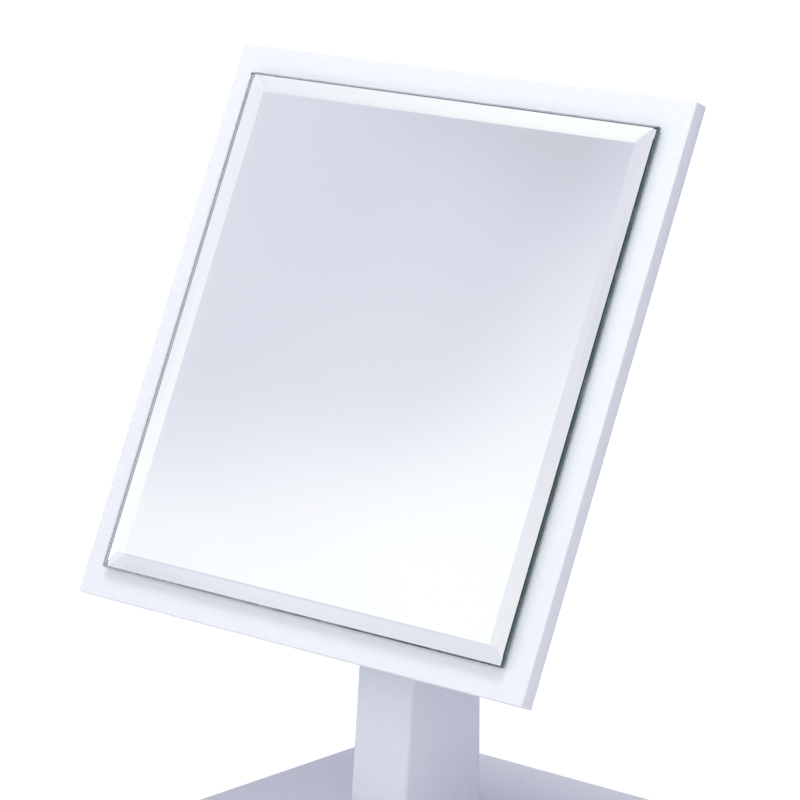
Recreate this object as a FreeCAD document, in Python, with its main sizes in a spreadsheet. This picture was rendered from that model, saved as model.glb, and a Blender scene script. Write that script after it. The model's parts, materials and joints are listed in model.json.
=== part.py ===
import FreeCAD, Part
import math
import os
import re

import Sketcher
from FreeCAD import Placement, Rotation, Vector

# A square bevelled table mirror that tilts on a raked post, over a leatherette-covered base
# with one drawer. Millimetres: X runs right, Y runs back, Z runs up, and the origin is the
# middle of the base's underside.

sizes = {
    # leatherette cover that is glued over every board
    "wrap_thickness": 0.8,
    "wrap_edge_radius": 0.5,
    # base casing
    "base_width": 169,
    "base_depth": 169,
    "base_height": 60,
    "side_thickness": 8,
    "back_thickness": 8,
    "top_thickness": 8,
    "bottom_thickness": 6,
    "felt_thickness": 1.2,
    "felt_inset": 2,
    "floor_lining_thickness": 0.6,
    "bumper_width": 10,
    "bumper_thickness": 1.5,
    "bumper_spacing": 100,
    "bumper_rise": 16,
    # drawer
    "drawer_reveal": 0.8,
    "drawer_recess": 0.5,
    "drawer_slide_gap": 0.3,
    "drawer_front_thickness": 8,
    "drawer_side_thickness": 5,
    "drawer_back_thickness": 5,
    "drawer_bottom_thickness": 3,
    "drawer_side_height": 34,
    "groove_rise": 3,
    "groove_depth": 2.5,
    "groove_clearance": 0.1,
    "tray_lining_thickness": 1,
    "wall_lining_thickness": 0.8,
    "wall_lining_drop": 1,
    # knob and its screw
    "knob_diameter": 16,
    "knob_projection": 17,
    "knob_head_length": 9,
    "knob_edge_chamfer": 1.2,
    "knob_neck_diameter": 7.5,
    "knob_flange_diameter": 12,
    "knob_flange_thickness": 1.6,
    "knob_hole_depth": 9,
    "knob_screw_diameter": 4,
    "knob_screw_engagement": 7.5,
    "knob_screw_head_diameter": 8,
    "knob_screw_head_height": 2.4,
    "counterbore_diameter": 9,
    "counterbore_depth": 2.8,
    # post
    "post_width": 31.75,
    "post_foot_depth": 51,
    "post_top_depth": 35,
    "post_height": 181,
    "post_corner_radius": 1.6,
    "post_screw_diameter": 4,
    "post_screw_head_diameter": 8,
    "post_screw_head_height": 2.6,
    "post_screw_length": 40,
    "post_screw_spacing": 26,
    # screws sit this far clear of the holes that they pass through, on every side
    "screw_clearance": 0.05,
    # pressed steel clevis on the post
    "clevis_sheet": 2.5,
    "clevis_depth": 28,
    "clevis_bend_radius": 1.5,
    "clevis_shoulder": 5,
    "ear_radius": 8,
    "pivot_rise": 12.6,
    "clevis_screw_diameter": 3.5,
    "clevis_screw_head_diameter": 6.6,
    "clevis_screw_head_height": 2,
    "clevis_screw_length": 22,
    "clevis_screw_spacing": 18,
    # pivot bolt, washers and nut
    "bolt_diameter": 5,
    "bolt_clearance": 0.05,
    "bolt_head_diameter": 9.5,
    "bolt_head_height": 2.8,
    "bolt_head_chamfer": 0.9,
    "bolt_socket_width": 3,
    "bolt_socket_depth": 1.6,
    "bolt_tail": 1,
    "friction_washer_diameter": 15,
    "friction_washer_thickness": 1,
    "friction_gap": 0.05,
    "steel_washer_diameter": 10,
    "steel_washer_thickness": 1,
    "nut_width": 8,
    "nut_height": 3.4,
    "nut_collar_diameter": 7,
    "nut_collar_height": 1.4,
    # cast arm on the back of the mirror
    "tilt_angle": 25,
    "pivot_setback": 37.1,
    "arm_thickness": 10,
    "arm_height": 14,
    "arm_fillet": 4,
    "arm_plate_width": 56,
    "arm_plate_height": 28,
    "arm_plate_thickness": 3,
    "arm_plate_corner": 9,
    "arm_screw_diameter": 4,
    "arm_screw_head_diameter": 7.6,
    "arm_screw_head_height": 2.2,
    "arm_screw_length": 7.5,
    "arm_screw_spacing": 40,
    # mirror board and glass
    "frame_width": 254,
    "frame_height": 254,
    "frame_thickness": 7.1,
    "turn_in": 10,
    "glass_width": 228,
    "glass_height": 228,
    "glass_thickness": 4,
    "bevel_width": 7.7,
    "bevel_depth": 1.2,
    "glass_corner_clip": 1.5,
    "tape_thickness": 1,
    "tape_width": 20,
    "tape_spacing": 92,
    "tape_inset": 9,
}

# Levels in millimetres, or volumes in cubic millimetres, that differ by less than this are the same.
near = 0.01

# Places and lengths that several pieces share, worked out from the sizes above.
casing_height = "(base_height - felt_thickness - top_thickness - wrap_thickness)"
casing_top = "(base_height - top_thickness - wrap_thickness)"
board_width = "(base_width - 2 * wrap_thickness)"
board_depth = "(base_depth - 2 * wrap_thickness)"
cavity_width = f"({board_width} - 2 * side_thickness)"
cavity_back = f"({board_depth} / 2 - back_thickness)"
cavity_floor = "(felt_thickness + bottom_thickness)"
cavity_centre = "(-back_thickness / 2)"

front_width = f"({cavity_width} - 2 * drawer_reveal)"
front_height = f"({casing_top} - {cavity_floor} - 2 * drawer_reveal)"
front_face = "(-base_depth / 2 + drawer_recess)"
front_middle = f"(({casing_top} + {cavity_floor}) / 2)"
front_rear = f"({front_face} + wrap_thickness + drawer_front_thickness)"
box_floor = f"({cavity_floor} + floor_lining_thickness + drawer_slide_gap)"
box_rear = f"({cavity_back} - bumper_thickness - drawer_slide_gap)"
box_length = f"({box_rear} - {front_rear})"
box_centre = f"(({box_rear} + {front_rear}) / 2)"
inner_width = f"({front_width} - 2 * drawer_side_thickness)"
inner_rear = f"({box_rear} - drawer_back_thickness)"
inner_length = f"({inner_rear} - {front_rear})"
inner_centre = f"(({inner_rear} + {front_rear}) / 2)"
tray_floor = f"({box_floor} + groove_rise + groove_clearance / 2 + drawer_bottom_thickness)"
box_rim = f"({box_floor} + drawer_side_height)"
lining_floor = f"({tray_floor} + tray_lining_thickness)"

post_lean = "atan((post_foot_depth - post_top_depth) / post_height)"
post_top_centre = "((post_foot_depth - post_top_depth) / 2)"
post_top = "(base_height + post_height)"

ear_inside = "(arm_thickness / 2 + friction_gap + friction_washer_thickness)"
ear_outside = f"({ear_inside} + clevis_sheet)"
stack_end = f"({ear_outside} + steel_washer_thickness)"
pivot_height = f"({post_top} + pivot_rise)"
pivot_hole = "(bolt_diameter + 2 * bolt_clearance)"
face_middle_y = f"({post_top_centre} - pivot_setback * cos(tilt_angle))"
face_middle_z = f"({pivot_height} + pivot_setback * sin(tilt_angle))"

doc = FreeCAD.newDocument("vanity_mirror")
sheet = doc.addObject("Spreadsheet::Sheet", "dims")
for row, (alias, size) in enumerate(sizes.items(), start=1):
    sheet.set(f"A{row}", alias)
    sheet.set(f"B{row}", str(size))
    sheet.setAlias(f"B{row}", alias)
doc.recompute()


def sized(text):
    """A formula with each size name pointed at its cell of the sheet."""
    return re.sub(r"\b[a-z]+(?:_[a-z]+)+\b", lambda name: "dims." + name.group(0), text)


def value(text):
    """What a formula comes to now, in millimetres."""
    return float(sheet.evalExpression(sized(text)))


def drive(thing, path, text):
    thing.setExpression(path, sized(text))


# Bodies and sketches


def new_body(name, x="0", y="0", z="0"):
    """An empty body at a place that follows the sizes."""
    body = doc.addObject("PartDesign::Body", name)
    body.Label = name
    for axis, text in (("x", x), ("y", y), ("z", z)):
        drive(body, f"Placement.Base.{axis}", text)
    return body


def new_head_body(name):
    """A body of the mirror head: X right, Y up the glass, Z out of the frame's front face."""
    body = new_body(name, "0", face_middle_y, face_middle_z)
    body.Placement = Placement(Vector(), Rotation(Vector(1, 0, 0), 90 - value("tilt_angle")))
    drive(body, "Placement.Rotation.Angle", "90 - tilt_angle")
    return body


def origin_plane(body, role):
    return next(plane for plane in body.Origin.OriginFeatures if plane.Role == role)


def new_sketch(body, role="XY_Plane", x="0", y="0", z="0"):
    """A sketch on one of the body's own planes, moved within the plane and along its normal."""
    sketch = body.newObject("Sketcher::SketchObject", f"{body.Name}_sketch")
    sketch.AttachmentSupport = (origin_plane(body, role), [""])
    sketch.MapMode = "FlatFace"
    for axis, text in (("x", x), ("y", y), ("z", z)):
        drive(sketch, f"AttachmentOffset.Base.{axis}", text)
    return sketch


def dimension(sketch, kind, text, *ends):
    """A sketch dimension that follows a formula."""
    number = sketch.addConstraint(Sketcher.Constraint(kind, *ends, value(text)))
    drive(sketch, f"Constraints[{number}]", text)


def fix_point(sketch, edge, end, x, y):
    """Holds one end of an edge at a place given by two formulas."""
    dimension(sketch, "DistanceX", x, -1, 1, edge, end)
    dimension(sketch, "DistanceY", y, -1, 1, edge, end)


def outline(sketch, points):
    """A closed outline of straight edges through points given as pairs of formulas."""
    ends = [Vector(value(x), value(y), 0) for x, y in points]
    first = sketch.GeometryCount
    count = len(points)
    for i in range(count):
        sketch.addGeometry(Part.LineSegment(ends[i], ends[(i + 1) % count]))
    for i, (x, y) in enumerate(points):
        following = first + (i + 1) % count
        sketch.addConstraint(Sketcher.Constraint("Coincident", first + i, 2, following, 1))
        fix_point(sketch, first + i, 1, x, y)


def rectangle(sketch, width, height):
    """A rectangle about the sketch's own centre."""
    left, right = f"-{width} / 2", f"{width} / 2"
    low, high = f"-{height} / 2", f"{height} / 2"
    outline(sketch, [(left, low), (right, low), (right, high), (left, high)])


def circle(sketch, diameter, x="0", y="0"):
    centre = Vector(value(x), value(y), 0)
    rim = sketch.addGeometry(Part.Circle(centre, Vector(0, 0, 1), value(diameter) / 2))
    dimension(sketch, "Diameter", diameter, rim)
    fix_point(sketch, rim, 3, x, y)


def hexagon(sketch, width):
    """A hexagon of a given width across its flats, with two corners up and down."""
    corner = f"({width} / (2 * cos(30)))"
    turns = range(30, 390, 60)
    outline(sketch, [(f"{corner} * cos({turn})", f"{corner} * sin({turn})") for turn in turns])


# Features


def pad(body, sketch, length, middle=False, backwards=False):
    """Grows a sketch along its normal, both ways from it, or backwards."""
    feature = body.newObject("PartDesign::Pad", f"{body.Name}_pad")
    feature.Profile = sketch
    feature.Midplane = middle
    feature.Reversed = backwards
    drive(feature, "Length", length)
    doc.recompute()
    return feature


def cut(body, sketch, length, middle=False, onwards=False):
    """Cuts a sketch away against its normal, both ways from it, or onwards along it."""
    before = body.Shape.Volume
    feature = body.newObject("PartDesign::Pocket", f"{body.Name}_cut")
    feature.Profile = sketch
    feature.Midplane = middle
    feature.Reversed = onwards
    drive(feature, "Length", length)
    doc.recompute()
    if body.Shape.Volume > before - near:
        raise RuntimeError(f"a cut in {body.Name} misses the piece")
    return feature


def revolve(body, sketch, axis):
    feature = body.newObject("PartDesign::Revolution", f"{body.Name}_turned")
    feature.Profile = sketch
    feature.ReferenceAxis = (sketch, [axis])
    feature.Angle = 360
    doc.recompute()
    return feature


def edges_where(feature, wanted):
    """The names of a feature's edges that a test picks out."""
    edges = enumerate(feature.Shape.Edges, start=1)
    return [f"Edge{number}" for number, edge in edges if wanted(edge)]


def straight_along(direction):
    """A test for straight edges that run along a direction."""

    def wanted(edge):
        if not isinstance(edge.Curve, Part.Line):
            return False
        return abs(edge.Curve.Direction.dot(direction)) > 0.999

    return wanted


def dress(body, kind, feature, edges, size):
    """Rounds (Fillet, by radius) or breaks (Chamfer, by size) some edges of a feature."""
    if not edges:
        raise RuntimeError(f"{body.Name} has no such edge to dress")
    dressed = body.newObject(f"PartDesign::{kind}", f"{body.Name}_{kind.lower()}")
    dressed.Base = (feature, edges)
    drive(dressed, {"Fillet": "Radius", "Chamfer": "Size"}[kind], size)
    doc.recompute()
    return dressed


def board(name, width, depth, height, x="0", y="0", z="0"):
    """A square-edged board, centred in X and Y and standing on z."""
    body = new_body(name, x, y, z)
    sketch = new_sketch(body)
    rectangle(sketch, width, depth)
    pad(body, sketch, height)
    return body


def drill(body, places, diameter, depth, face="0", downwards=False):
    """Round holes from a face level with the body's XY plane, upwards unless told otherwise."""
    sketch = new_sketch(body, z=face)
    for x, y in places:
        circle(sketch, diameter, x, y)
    return cut(body, sketch, depth, onwards=not downwards)


def screws(body, places, kind, face, downwards=False):
    """Plain-shanked pan-head screws of one kind, driven upwards or downwards from a face."""
    way = -1 if downwards else 1
    head, shank = f"{kind}_head_diameter / 2", f"{kind}_diameter / 2"
    crown, tip = f"{-way} * {kind}_head_height", f"{way} * {kind}_length"
    profile = [("0", crown), (head, crown), (head, "0"), (shank, "0"), (shank, tip), ("0", tip)]
    for x, y in places:
        sketch = new_sketch(body, "XZ_Plane", x=x, y=face, z=f"-({y})")
        outline(sketch, profile)
        revolve(body, sketch, "V_Axis")


# Base casing

post_screw_places = [("0", "-post_screw_spacing / 2"), ("0", "post_screw_spacing / 2")]
post_screw_hole = "(post_screw_diameter + 2 * screw_clearance)"


def make_felt():
    board("base_felt", "(base_width - 2 * felt_inset)", "(base_depth - 2 * felt_inset)", "felt_thickness")


def make_casing_boards():
    side_x = f"(({board_width} - side_thickness) / 2)"
    side = ("side_thickness", board_depth, casing_height)
    board("base_left_side", *side, x=f"-{side_x}", z="felt_thickness")
    board("base_right_side", *side, x=side_x, z="felt_thickness")
    back_y = f"({board_depth} - back_thickness) / 2"
    board("base_back_board", cavity_width, "back_thickness", casing_height, y=back_y, z="felt_thickness")
    bottom_depth = f"({board_depth} - back_thickness)"
    bottom = (cavity_width, bottom_depth, "bottom_thickness")
    board("base_bottom_board", *bottom, y=cavity_centre, z="felt_thickness")

    top = board("base_top_board", board_width, board_depth, "top_thickness", z=casing_top)
    drill(top, post_screw_places, post_screw_hole, "top_thickness")


def make_casing_wrap():
    """The cover of the casing's three outer sides and of the edges round the drawer's mouth."""
    wrap = new_body("casing_wrap", z="felt_thickness")
    block = new_sketch(wrap)
    rectangle(block, "base_width", "base_depth")
    outside = pad(wrap, block, casing_height)
    corners = edges_where(outside, straight_along(Vector(0, 0, 1)))
    dress(wrap, "Fillet", outside, corners, "wrap_edge_radius")
    inside = new_sketch(wrap)
    rectangle(inside, board_width, board_depth)
    cut(wrap, inside, casing_height, onwards=True)
    mouth = new_sketch(wrap, "XZ_Plane", z="base_depth / 2")
    left, right = f"-{cavity_width} / 2", f"{cavity_width} / 2"
    low, high = "bottom_thickness", casing_height
    outline(mouth, [(left, low), (right, low), (right, high), (left, high)])
    cut(wrap, mouth, "wrap_thickness")


def make_top_wrap():
    """The cover of the top board, turned down over its four edges."""
    wrap = new_body("top_wrap", z=casing_top)
    block = new_sketch(wrap)
    rectangle(block, "base_width", "base_depth")
    outside = pad(wrap, block, "top_thickness + wrap_thickness")
    top = value("top_thickness + wrap_thickness")
    rim = edges_where(outside, lambda edge: edge.BoundBox.ZMin > top - near)
    dress(wrap, "Fillet", outside, rim, "wrap_edge_radius")
    inside = new_sketch(wrap)
    rectangle(inside, board_width, board_depth)
    cut(wrap, inside, "top_thickness", onwards=True)
    drill(wrap, post_screw_places, post_screw_hole, "wrap_thickness", face="top_thickness")


def make_casing_fittings():
    lining_front = f"({front_rear} + drawer_recess)"
    lining_depth = f"({cavity_back} - {lining_front})"
    lining_centre = f"({cavity_back} + {lining_front}) / 2"
    lining = (cavity_width, lining_depth, "floor_lining_thickness")
    board("casing_floor_lining", *lining, y=lining_centre, z=cavity_floor)

    bumpers = new_body("drawer_bumpers", y=cavity_back, z=f"{cavity_floor} + bumper_rise")
    for side in (-1, 1):
        square = new_sketch(bumpers, "XZ_Plane", x=f"{side} * bumper_spacing / 2")
        rectangle(square, "bumper_width", "bumper_width")
        pad(bumpers, square, "bumper_thickness")


# Drawer

knob_screw_hole = "(knob_screw_diameter + 2 * screw_clearance)"


def make_drawer_front():
    wrap = new_body("drawer_front_wrap", y=front_face, z=front_middle)
    block = new_sketch(wrap, "XZ_Plane")
    rectangle(block, front_width, front_height)
    outside = pad(wrap, block, "drawer_front_thickness + wrap_thickness", backwards=True)
    rim = edges_where(outside, lambda edge: edge.BoundBox.YMax < near)
    dress(wrap, "Fillet", outside, rim, "wrap_edge_radius")
    inside = new_sketch(wrap, "XZ_Plane", z="-(wrap_thickness + drawer_front_thickness)")
    rectangle(inside, f"({front_width} - 2 * wrap_thickness)", f"({front_height} - 2 * wrap_thickness)")
    cut(wrap, inside, "drawer_front_thickness", onwards=True)
    hole = new_sketch(wrap, "XZ_Plane")
    circle(hole, knob_screw_hole)
    cut(wrap, hole, "wrap_thickness")

    core = new_body("drawer_front_board", y=f"{front_face} + wrap_thickness", z=front_middle)
    block = new_sketch(core, "XZ_Plane")
    rectangle(block, f"({front_width} - 2 * wrap_thickness)", f"({front_height} - 2 * wrap_thickness)")
    pad(core, block, "drawer_front_thickness", backwards=True)
    hole = new_sketch(core, "XZ_Plane")
    circle(hole, knob_screw_hole)
    cut(core, hole, "drawer_front_thickness")
    pit = new_sketch(core, "XZ_Plane", z="-drawer_front_thickness")
    circle(pit, "counterbore_diameter")
    cut(core, pit, "counterbore_depth", onwards=True)


def make_drawer_side(name, hand):
    """A drawer side with a groove in its inner face; hand is 1 on the right, -1 on the left."""
    x = f"{hand} * ({front_width} - drawer_side_thickness) / 2"
    size = ("drawer_side_thickness", box_length, "drawer_side_height")
    side = board(name, *size, x=x, y=box_centre, z=box_floor)
    groove_middle = "groove_rise + (drawer_bottom_thickness + groove_clearance) / 2"
    inner_face = f"{-hand} * drawer_side_thickness / 2"
    groove = new_sketch(side, "YZ_Plane", y=groove_middle, z=inner_face)
    rectangle(groove, box_length, "(drawer_bottom_thickness + groove_clearance)")
    cut(side, groove, "groove_depth", onwards=hand > 0)


def make_drawer_box():
    make_drawer_side("drawer_left_side", -1)
    make_drawer_side("drawer_right_side", 1)
    bottom_width = f"({inner_width} + 2 * (groove_depth - groove_clearance))"
    bottom_z = f"{tray_floor} - drawer_bottom_thickness"
    bottom = (bottom_width, box_length, "drawer_bottom_thickness")
    board("drawer_bottom_board", *bottom, y=box_centre, z=bottom_z)
    back_height = f"({box_rim} - {tray_floor})"
    back_y = f"{box_rear} - drawer_back_thickness / 2"
    board("drawer_back_board", inner_width, "drawer_back_thickness", back_height, y=back_y, z=tray_floor)


def make_drawer_linings():
    tray = (inner_width, inner_length, "tray_lining_thickness")
    board("drawer_floor_lining", *tray, y=inner_centre, z=tray_floor)
    walls = new_body("drawer_wall_lining", y=inner_centre, z=lining_floor)
    band = new_sketch(walls)
    rectangle(band, inner_width, inner_length)
    both_walls = "2 * wall_lining_thickness"
    rectangle(band, f"({inner_width} - {both_walls})", f"({inner_length} - {both_walls})")
    pad(walls, band, f"{box_rim} - wall_lining_drop - {lining_floor}")


def make_knob():
    knob = new_body("drawer_knob", y=front_face, z=front_middle)
    half = new_sketch(knob, "YZ_Plane")
    head_back = "-(knob_projection - knob_head_length)"
    bore = f"{knob_screw_hole} / 2"
    profile = [
        ("0", bore),
        ("0", "knob_flange_diameter / 2"),
        ("-knob_flange_thickness", "knob_flange_diameter / 2"),
        ("-knob_flange_thickness", "knob_neck_diameter / 2"),
        (head_back, "knob_neck_diameter / 2"),
        (head_back, "knob_diameter / 2"),
        ("-knob_projection", "knob_diameter / 2"),
        ("-knob_projection", "0"),
        ("-knob_hole_depth", "0"),
        ("-knob_hole_depth", bore),
    ]
    outline(half, profile)
    turned = revolve(knob, half, "H_Axis")
    face = -value("knob_projection")
    rim = edges_where(turned, lambda edge: edge.BoundBox.YMax < face + near)
    dress(knob, "Chamfer", turned, rim, "knob_edge_chamfer")

    seat = f"({front_rear} - counterbore_depth)"
    screw = new_body("knob_screw", y=seat, z=front_middle)
    half = new_sketch(screw, "YZ_Plane")
    tip = f"-({seat} - {front_face} + knob_screw_engagement)"
    profile = [
        ("knob_screw_head_height", "0"),
        ("knob_screw_head_height", "knob_screw_head_diameter / 2"),
        ("0", "knob_screw_head_diameter / 2"),
        ("0", "knob_screw_diameter / 2"),
        (tip, "knob_screw_diameter / 2"),
        (tip, "0"),
    ]
    outline(half, profile)
    revolve(screw, half, "H_Axis")


# Post

clevis_screw_places = [("0", "-clevis_screw_spacing / 2"), ("0", "clevis_screw_spacing / 2")]
clevis_screw_hole = "(clevis_screw_diameter + 2 * screw_clearance)"


def post_outline(sketch, skin, top_skin):
    """The post's raked side profile, drawn in by a skin on the front, back and top."""
    rise = f"(post_height - {top_skin})"
    front = f"(-post_foot_depth / 2 + {skin} / cos({post_lean}))"
    rake = f"{rise} * (post_foot_depth - post_top_depth) / post_height"
    back = f"(post_foot_depth / 2 - {skin})"
    outline(sketch, [(front, "0"), (back, "0"), (back, rise), (f"{front} + {rake}", rise)])


def long_post_edges(feature):
    """The four edges that run up the post, two of them raked."""
    tall = 0.5 * value("post_height")
    return edges_where(feature, lambda edge: edge.BoundBox.ZLength > tall)


def shifted(places, y):
    return [(x, f"{place} + {y}") for x, place in places]


def make_post():
    core = new_body("post_core", z="base_height")
    profile = new_sketch(core, "YZ_Plane")
    post_outline(profile, "wrap_thickness", "wrap_thickness")
    block = pad(core, profile, "post_width - 2 * wrap_thickness", middle=True)
    dress(core, "Fillet", block, long_post_edges(block), "post_corner_radius - wrap_thickness")
    foot_hole = "post_screw_length - top_thickness - wrap_thickness + 2 * screw_clearance"
    drill(core, post_screw_places, post_screw_hole, foot_hole)
    top_places = shifted(clevis_screw_places, post_top_centre)
    top_hole = "clevis_screw_length - clevis_sheet - wrap_thickness + 2 * screw_clearance"
    drill(core, top_places, clevis_screw_hole, top_hole, "post_height - wrap_thickness", downwards=True)

    wrap = new_body("post_wrap", z="base_height")
    profile = new_sketch(wrap, "YZ_Plane")
    post_outline(profile, "0", "0")
    block = pad(wrap, profile, "post_width", middle=True)
    rounded = dress(wrap, "Fillet", block, long_post_edges(block), "post_corner_radius")
    foot = [f"Face{i}" for i, face in enumerate(rounded.Shape.Faces, start=1) if face.BoundBox.ZMax < near]
    shell = wrap.newObject("PartDesign::Thickness", "post_wrap_shell")
    shell.Base = (rounded, foot)
    shell.Reversed = True
    shell.Join = "Intersection"
    drive(shell, "Value", "wrap_thickness")
    doc.recompute()
    drill(wrap, top_places, clevis_screw_hole, "wrap_thickness", "post_height - wrap_thickness")

    screws(new_body("post_screws", z=casing_top), post_screw_places, "post_screw", "0")


# Tilt hinge: clevis on the post, bolt stack, cast arm on the mirror


def tangent_ear(sketch):
    """The side view of a clevis ear: foot, shoulders and two lines tangent to the round top."""
    half, shoulder, low = value("clevis_depth") / 2, value("clevis_shoulder"), -value("clevis_sheet")
    rise, radius = value("pivot_rise"), value("ear_radius")
    reach = math.hypot(half, rise - shoulder)
    turn = math.atan2(shoulder - rise, half) + math.acos(radius / reach)
    touch = Vector(radius * math.cos(turn), rise + radius * math.sin(turn), 0)
    left = [Vector(-touch.x, touch.y, 0), Vector(-half, shoulder, 0), Vector(-half, low, 0)]
    points = left + [Vector(half, low, 0), Vector(half, shoulder, 0), touch]
    first = sketch.GeometryCount
    for start, end in zip(points, points[1:]):
        sketch.addGeometry(Part.LineSegment(start, end))
    round_top = Part.Circle(Vector(0, rise, 0), Vector(0, 0, 1), radius)
    arc = sketch.addGeometry(Part.ArcOfCircle(round_top, turn, math.pi - turn))
    for edge in range(first, first + 4):
        sketch.addConstraint(Sketcher.Constraint("Coincident", edge, 2, edge + 1, 1))
    sketch.addConstraint(Sketcher.Constraint("Tangent", first + 4, 2, arc, 1))
    sketch.addConstraint(Sketcher.Constraint("Tangent", first, 1, arc, 2))
    fix_point(sketch, arc, 3, "0", "pivot_rise")
    dimension(sketch, "Radius", "ear_radius", arc)
    fix_point(sketch, first + 1, 1, "-clevis_depth / 2", "clevis_shoulder")
    fix_point(sketch, first + 2, 1, "-clevis_depth / 2", "-clevis_sheet")
    fix_point(sketch, first + 3, 1, "clevis_depth / 2", "-clevis_sheet")
    fix_point(sketch, first + 4, 1, "clevis_depth / 2", "clevis_shoulder")


def make_clevis():
    clevis = new_body("post_bracket", y=post_top_centre, z=post_top)
    top = "(pivot_rise + ear_radius)"
    channel = new_sketch(clevis, "XZ_Plane")
    right = [
        (ear_outside, "0"),
        (ear_outside, top),
        (ear_inside, top),
        (ear_inside, "clevis_sheet"),
    ]
    left = [(f"-{x}", z) for x, z in reversed(right)]
    outline(channel, right + left)
    bent = pad(clevis, channel, "clevis_depth", middle=True)
    along = straight_along(Vector(0, 1, 0))
    sheet_top, inside = value("clevis_sheet"), value(ear_inside)

    def outer_bend(edge):
        return along(edge) and edge.BoundBox.ZMax < near

    def inner_bend(edge):
        level = abs(edge.BoundBox.ZMax - sheet_top) < near
        return along(edge) and level and abs(abs(edge.BoundBox.XMax) - inside) < near

    bent = dress(clevis, "Fillet", bent, edges_where(bent, outer_bend), "clevis_bend_radius + clevis_sheet")
    bent = dress(clevis, "Fillet", bent, edges_where(bent, inner_bend), "clevis_bend_radius")
    across = f"2 * {ear_outside}"
    ears = new_sketch(clevis, "YZ_Plane")
    rectangle(ears, "(2 * clevis_depth)", f"(4 * {top})")
    tangent_ear(ears)
    cut(clevis, ears, across, middle=True)
    bore = new_sketch(clevis, "YZ_Plane")
    circle(bore, pivot_hole, "0", "pivot_rise")
    cut(clevis, bore, across, middle=True)
    drill(clevis, clevis_screw_places, clevis_screw_hole, "clevis_sheet")

    pair = new_body("post_bracket_screws", y=post_top_centre, z=post_top)
    screws(pair, clevis_screw_places, "clevis_screw", "clevis_sheet", downwards=True)


def ring(body, x, diameter, hole, thickness, backwards=False):
    """A flat ring round the pivot axis, growing right or, backwards, left from x."""
    flat = new_sketch(body, "YZ_Plane", z=x)
    circle(flat, diameter)
    circle(flat, hole)
    pad(body, flat, thickness, backwards=backwards)


def make_pivot():
    place = {"y": post_top_centre, "z": pivot_height}
    bolt = new_body("pivot_bolt", **place)
    half = new_sketch(bolt, "XZ_Plane")
    head = f"({stack_end} + bolt_head_height)"
    tail = f"-({stack_end} + nut_height + nut_collar_height + bolt_tail)"
    profile = [
        (tail, "0"),
        (head, "0"),
        (head, "bolt_head_diameter / 2"),
        (stack_end, "bolt_head_diameter / 2"),
        (stack_end, "bolt_diameter / 2"),
        (tail, "bolt_diameter / 2"),
    ]
    outline(half, profile)
    turned = revolve(bolt, half, "H_Axis")
    face = value(head)
    crown = edges_where(turned, lambda edge: edge.BoundBox.XMin > face - near)
    dress(bolt, "Chamfer", turned, crown, "bolt_head_chamfer")
    key = new_sketch(bolt, "YZ_Plane", z=head)
    hexagon(key, "bolt_socket_width")
    cut(bolt, key, "bolt_socket_depth")

    friction = new_body("friction_washers", **place)
    steel = new_body("steel_washers", **place)
    for side in (-1, 1):
        inner = f"{side} * (arm_thickness / 2 + friction_gap)"
        outer = f"{side} * {ear_outside}"
        left = side < 0
        ring(friction, inner, "friction_washer_diameter", pivot_hole, "friction_washer_thickness", left)
        ring(steel, outer, "steel_washer_diameter", pivot_hole, "steel_washer_thickness", left)

    nut = new_body("lock_nut", **place)
    flats = new_sketch(nut, "YZ_Plane", z=f"-{stack_end}")
    hexagon(flats, "nut_width")
    circle(flats, pivot_hole)
    pad(nut, flats, "nut_height", backwards=True)
    ring(nut, f"-({stack_end} + nut_height)", "nut_collar_diameter", pivot_hole, "nut_collar_height", True)


arm_screw_hole = "(arm_screw_diameter + 2 * screw_clearance)"
arm_screw_places = [("-arm_screw_spacing / 2", "0"), ("arm_screw_spacing / 2", "0")]


def arm_side_view(sketch, root):
    """The arm's side view: two edges back from the root, joined by a half circle at the pivot."""
    half, low, end = value("arm_height") / 2, value(root), -value("pivot_setback")
    points = [Vector(-half, end, 0), Vector(-half, low, 0), Vector(half, low, 0), Vector(half, end, 0)]
    for start, finish in zip(points, points[1:]):
        sketch.addGeometry(Part.LineSegment(start, finish))
    circle_of_nose = Part.Circle(Vector(0, end, 0), Vector(0, 0, 1), half)
    nose = sketch.addGeometry(Part.ArcOfCircle(circle_of_nose, math.pi, 2 * math.pi))
    for edge in (0, 1):
        sketch.addConstraint(Sketcher.Constraint("Coincident", edge, 2, edge + 1, 1))
    sketch.addConstraint(Sketcher.Constraint("Tangent", 2, 2, nose, 2))
    sketch.addConstraint(Sketcher.Constraint("Tangent", 0, 1, nose, 1))
    fix_point(sketch, nose, 3, "0", "-pivot_setback")
    fix_point(sketch, 1, 1, "-arm_height / 2", root)
    fix_point(sketch, 1, 2, "arm_height / 2", root)


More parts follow.
